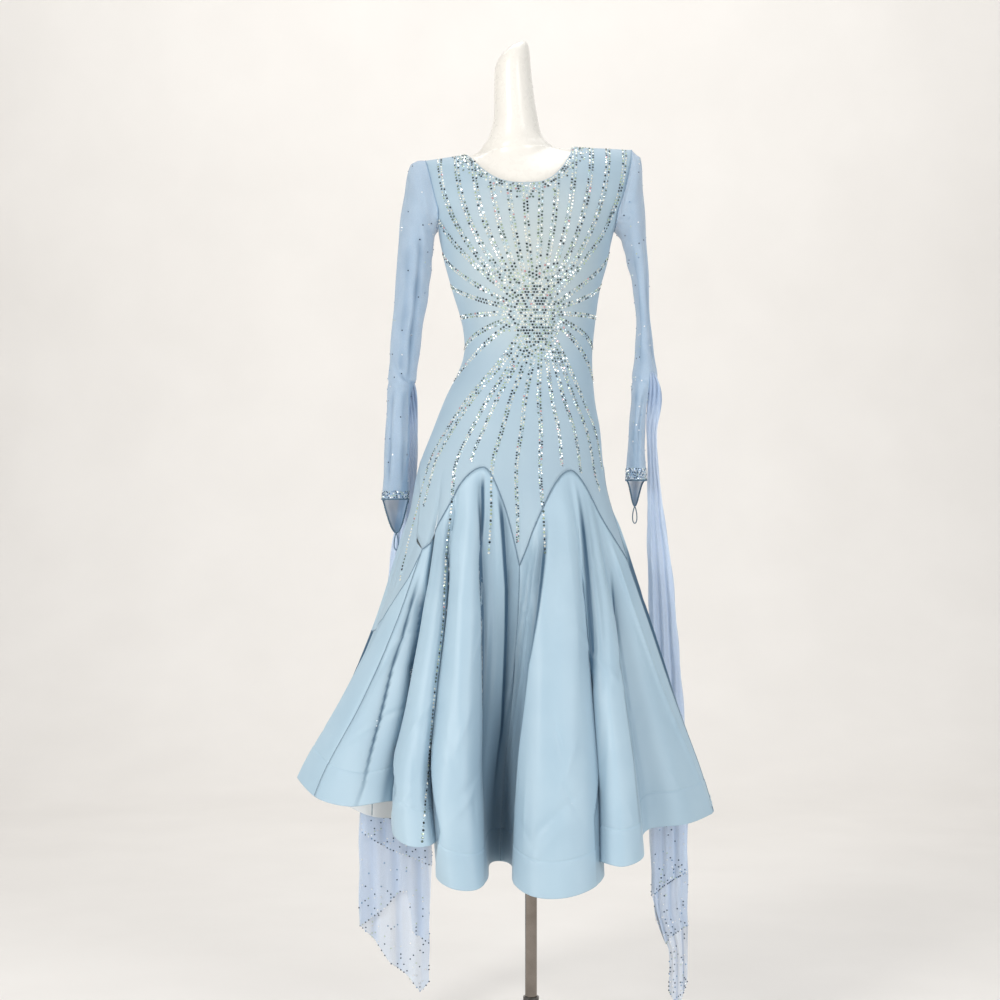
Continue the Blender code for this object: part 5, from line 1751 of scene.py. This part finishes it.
def build_sleeve_stones(side, grid, normals, mat):
    """A few stones scattered down the sleeve and close rows at the cuff and on its point."""
    stones = StoneSet(SPARSE_SEED + (1 if side == "left" else 2))
    rng = stones.rng
    rows, columns = grid.shape[:2]
    for _ in range(SLEEVE_STONES):
        r = rng.randrange(HEAD_ROWS, rows - SLEEVE_STONES_END)
        c = rng.randrange(columns)
        stones.add(grid[r, c] + normals[r, c] * STONE_LIFT, normals[r, c], SLEEVE_STONE_RADIUS)
    for _ in range(CUFF_TRIES):
        r = rows - 1 - rng.randrange(CUFF_BAND_ROWS)
        c = rng.randrange(columns)
        if abs(c - CUFF_POINT_TURN * columns) > CUFF_BARE_COLUMNS:
            between = rng.random()
            place = grid[r, c] * between + grid[r - 1, (c + 1) % columns] * (1 - between)
            stones.add(place + normals[r, c] * STONE_LIFT, normals[r, c], CUFF_STONE_RADIUS)
    cuff_edge_stones(stones, grid, normals)
    stones.build("stones_sleeve_" + side, mat, BLUE_STONE_AND_GLINT_TONES)


def build_float_stones(side, grid, mat):
    """Stones along the lower edge of each layer, thinning upwards."""
    stones = StoneSet(SPARSE_SEED + (3 if side == "left" else 4))
    normals = grid_normals(grid)
    rows, columns = grid.shape[:2]
    for c in range(columns):
        for k in range(FLOAT_STONE_ROWS):
            chance = 1.0 if k == 0 else FLOAT_STONE_SHARE * math.exp(-k / FLOAT_STONE_FADE)
            if stones.rng.random() < chance:
                r = rows - 1 - k
                normal = normals[r, c] * (1.0 if normals[r, c, 1] < 0 else -1.0)
                stones.add(grid[r, c] + normal * STONE_LIFT, normal, FLOAT_STONE_RADIUS)
    stones.build("stones_float_" + side, mat, BLUE_STONE_AND_GLINT_TONES)


# Studio

def build_backdrop():
    """A pale paper sweep: a floor that curves up into a wall."""
    bend = SWEEP_BACK - SWEEP_RADIUS
    profile = [(SWEEP_FRONT, 0.0), (bend, 0.0)]
    profile += [(bend + SWEEP_RADIUS * math.sin(a), SWEEP_RADIUS - SWEEP_RADIUS * math.cos(a))
                for a in np.linspace(SWEEP_FIRST_TURN, math.pi / 2, SWEEP_ROWS)]
    profile.append((SWEEP_BACK, SWEEP_TOP))
    across = np.linspace(-SWEEP_HALF_WIDTH, SWEEP_HALF_WIDTH, SWEEP_COLUMNS)
    grid = np.array([[(x, y, z) for x in across] for y, z in profile])
    single("studio_sweep", grid, floor_material())


def light_scene():
    """Soft area lights round the dress, and a dim even surround."""
    world = bpy.data.worlds.new("studio")
    world.use_nodes = True
    background = world.node_tree.nodes["Background"]
    background.inputs["Color"].default_value = (0.96, 0.97, 1.0, 1.0)
    background.inputs["Strength"].default_value = SURROUND
    bpy.context.scene.world = world
    for name, place, target, size, energy, colour in LIGHTS:
        data = bpy.data.lights.new(name, "AREA")
        data.shape = "RECTANGLE"
        data.size, data.size_y = size
        data.energy = energy
        data.color = colour
        obj = add_object(name, data)
        obj.location = place
        obj.rotation_euler = (Vector(target) - Vector(place)).to_track_quat("-Z", "Y").to_euler()
    bpy.context.scene.view_settings.view_transform = "Standard"


def place_camera():
    data = bpy.data.cameras.new("camera")
    data.lens = CAMERA_LENS
    data.sensor_width = CAMERA_SENSOR
    obj = add_object("camera", data)
    obj.location = CAMERA_PLACE
    obj.rotation_euler = (math.pi / 2, 0.0, 0.0)
    bpy.context.scene.camera = obj


def main():
    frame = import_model()
    satin, knit, lining = satin_material(), knit_material(), lining_material()
    # The nets' fold tones are partly closer gathered net and partly painted shade
    net = net_material("sleeve_mesh", light=(0.395, 0.560, 0.740), dark=(0.358, 0.524, 0.705),
                       fold_tone_with_painted_shade=(0.085, 0.165, 0.270), hole_cover=0.28)
    scarf = net_material("float_mesh", light=(0.655, 0.775, 0.940), dark=(0.615, 0.735, 0.910),
                         fold_tone_with_painted_shade=(0.340, 0.480, 0.710), hole_cover=0.20)
    crystal = stone_material()
    elastic = thread_material("loop_elastic", light=(0.10, 0.19, 0.27), dark=(0.05, 0.11, 0.17))
    build_form(form_material())
    finish_stand(frame)
    build_panel("bodice_front", -90.0, 90.0, FRONT_NECK, 0.0, -1.0, [knit, lining])
    build_panel("bodice_back", 90.0, 270.0, BACK_NECK, 180.0, 1.0, [knit, lining])
    build_godets(satin, knit, lining)
    # The piping's dark tone is a painted shadow line along the seams
    build_seams(thread_material("seam_painted_shade", light=(0.200, 0.290, 0.370), dark=(0.150, 0.230, 0.310)))
    build_bodice_stones(crystal)
    for side in ("left", "right"):
        grid, normals = build_sleeve(side, net, elastic)
        build_sleeve_stones(side, grid, normals, crystal)
        build_float_stones(side, build_float(side, scarf), crystal)
        build_loop(side, grid.reshape(-1, 3)[grid[..., 2].argmin()], elastic)
    build_backdrop()
    light_scene()
    place_camera()


main()
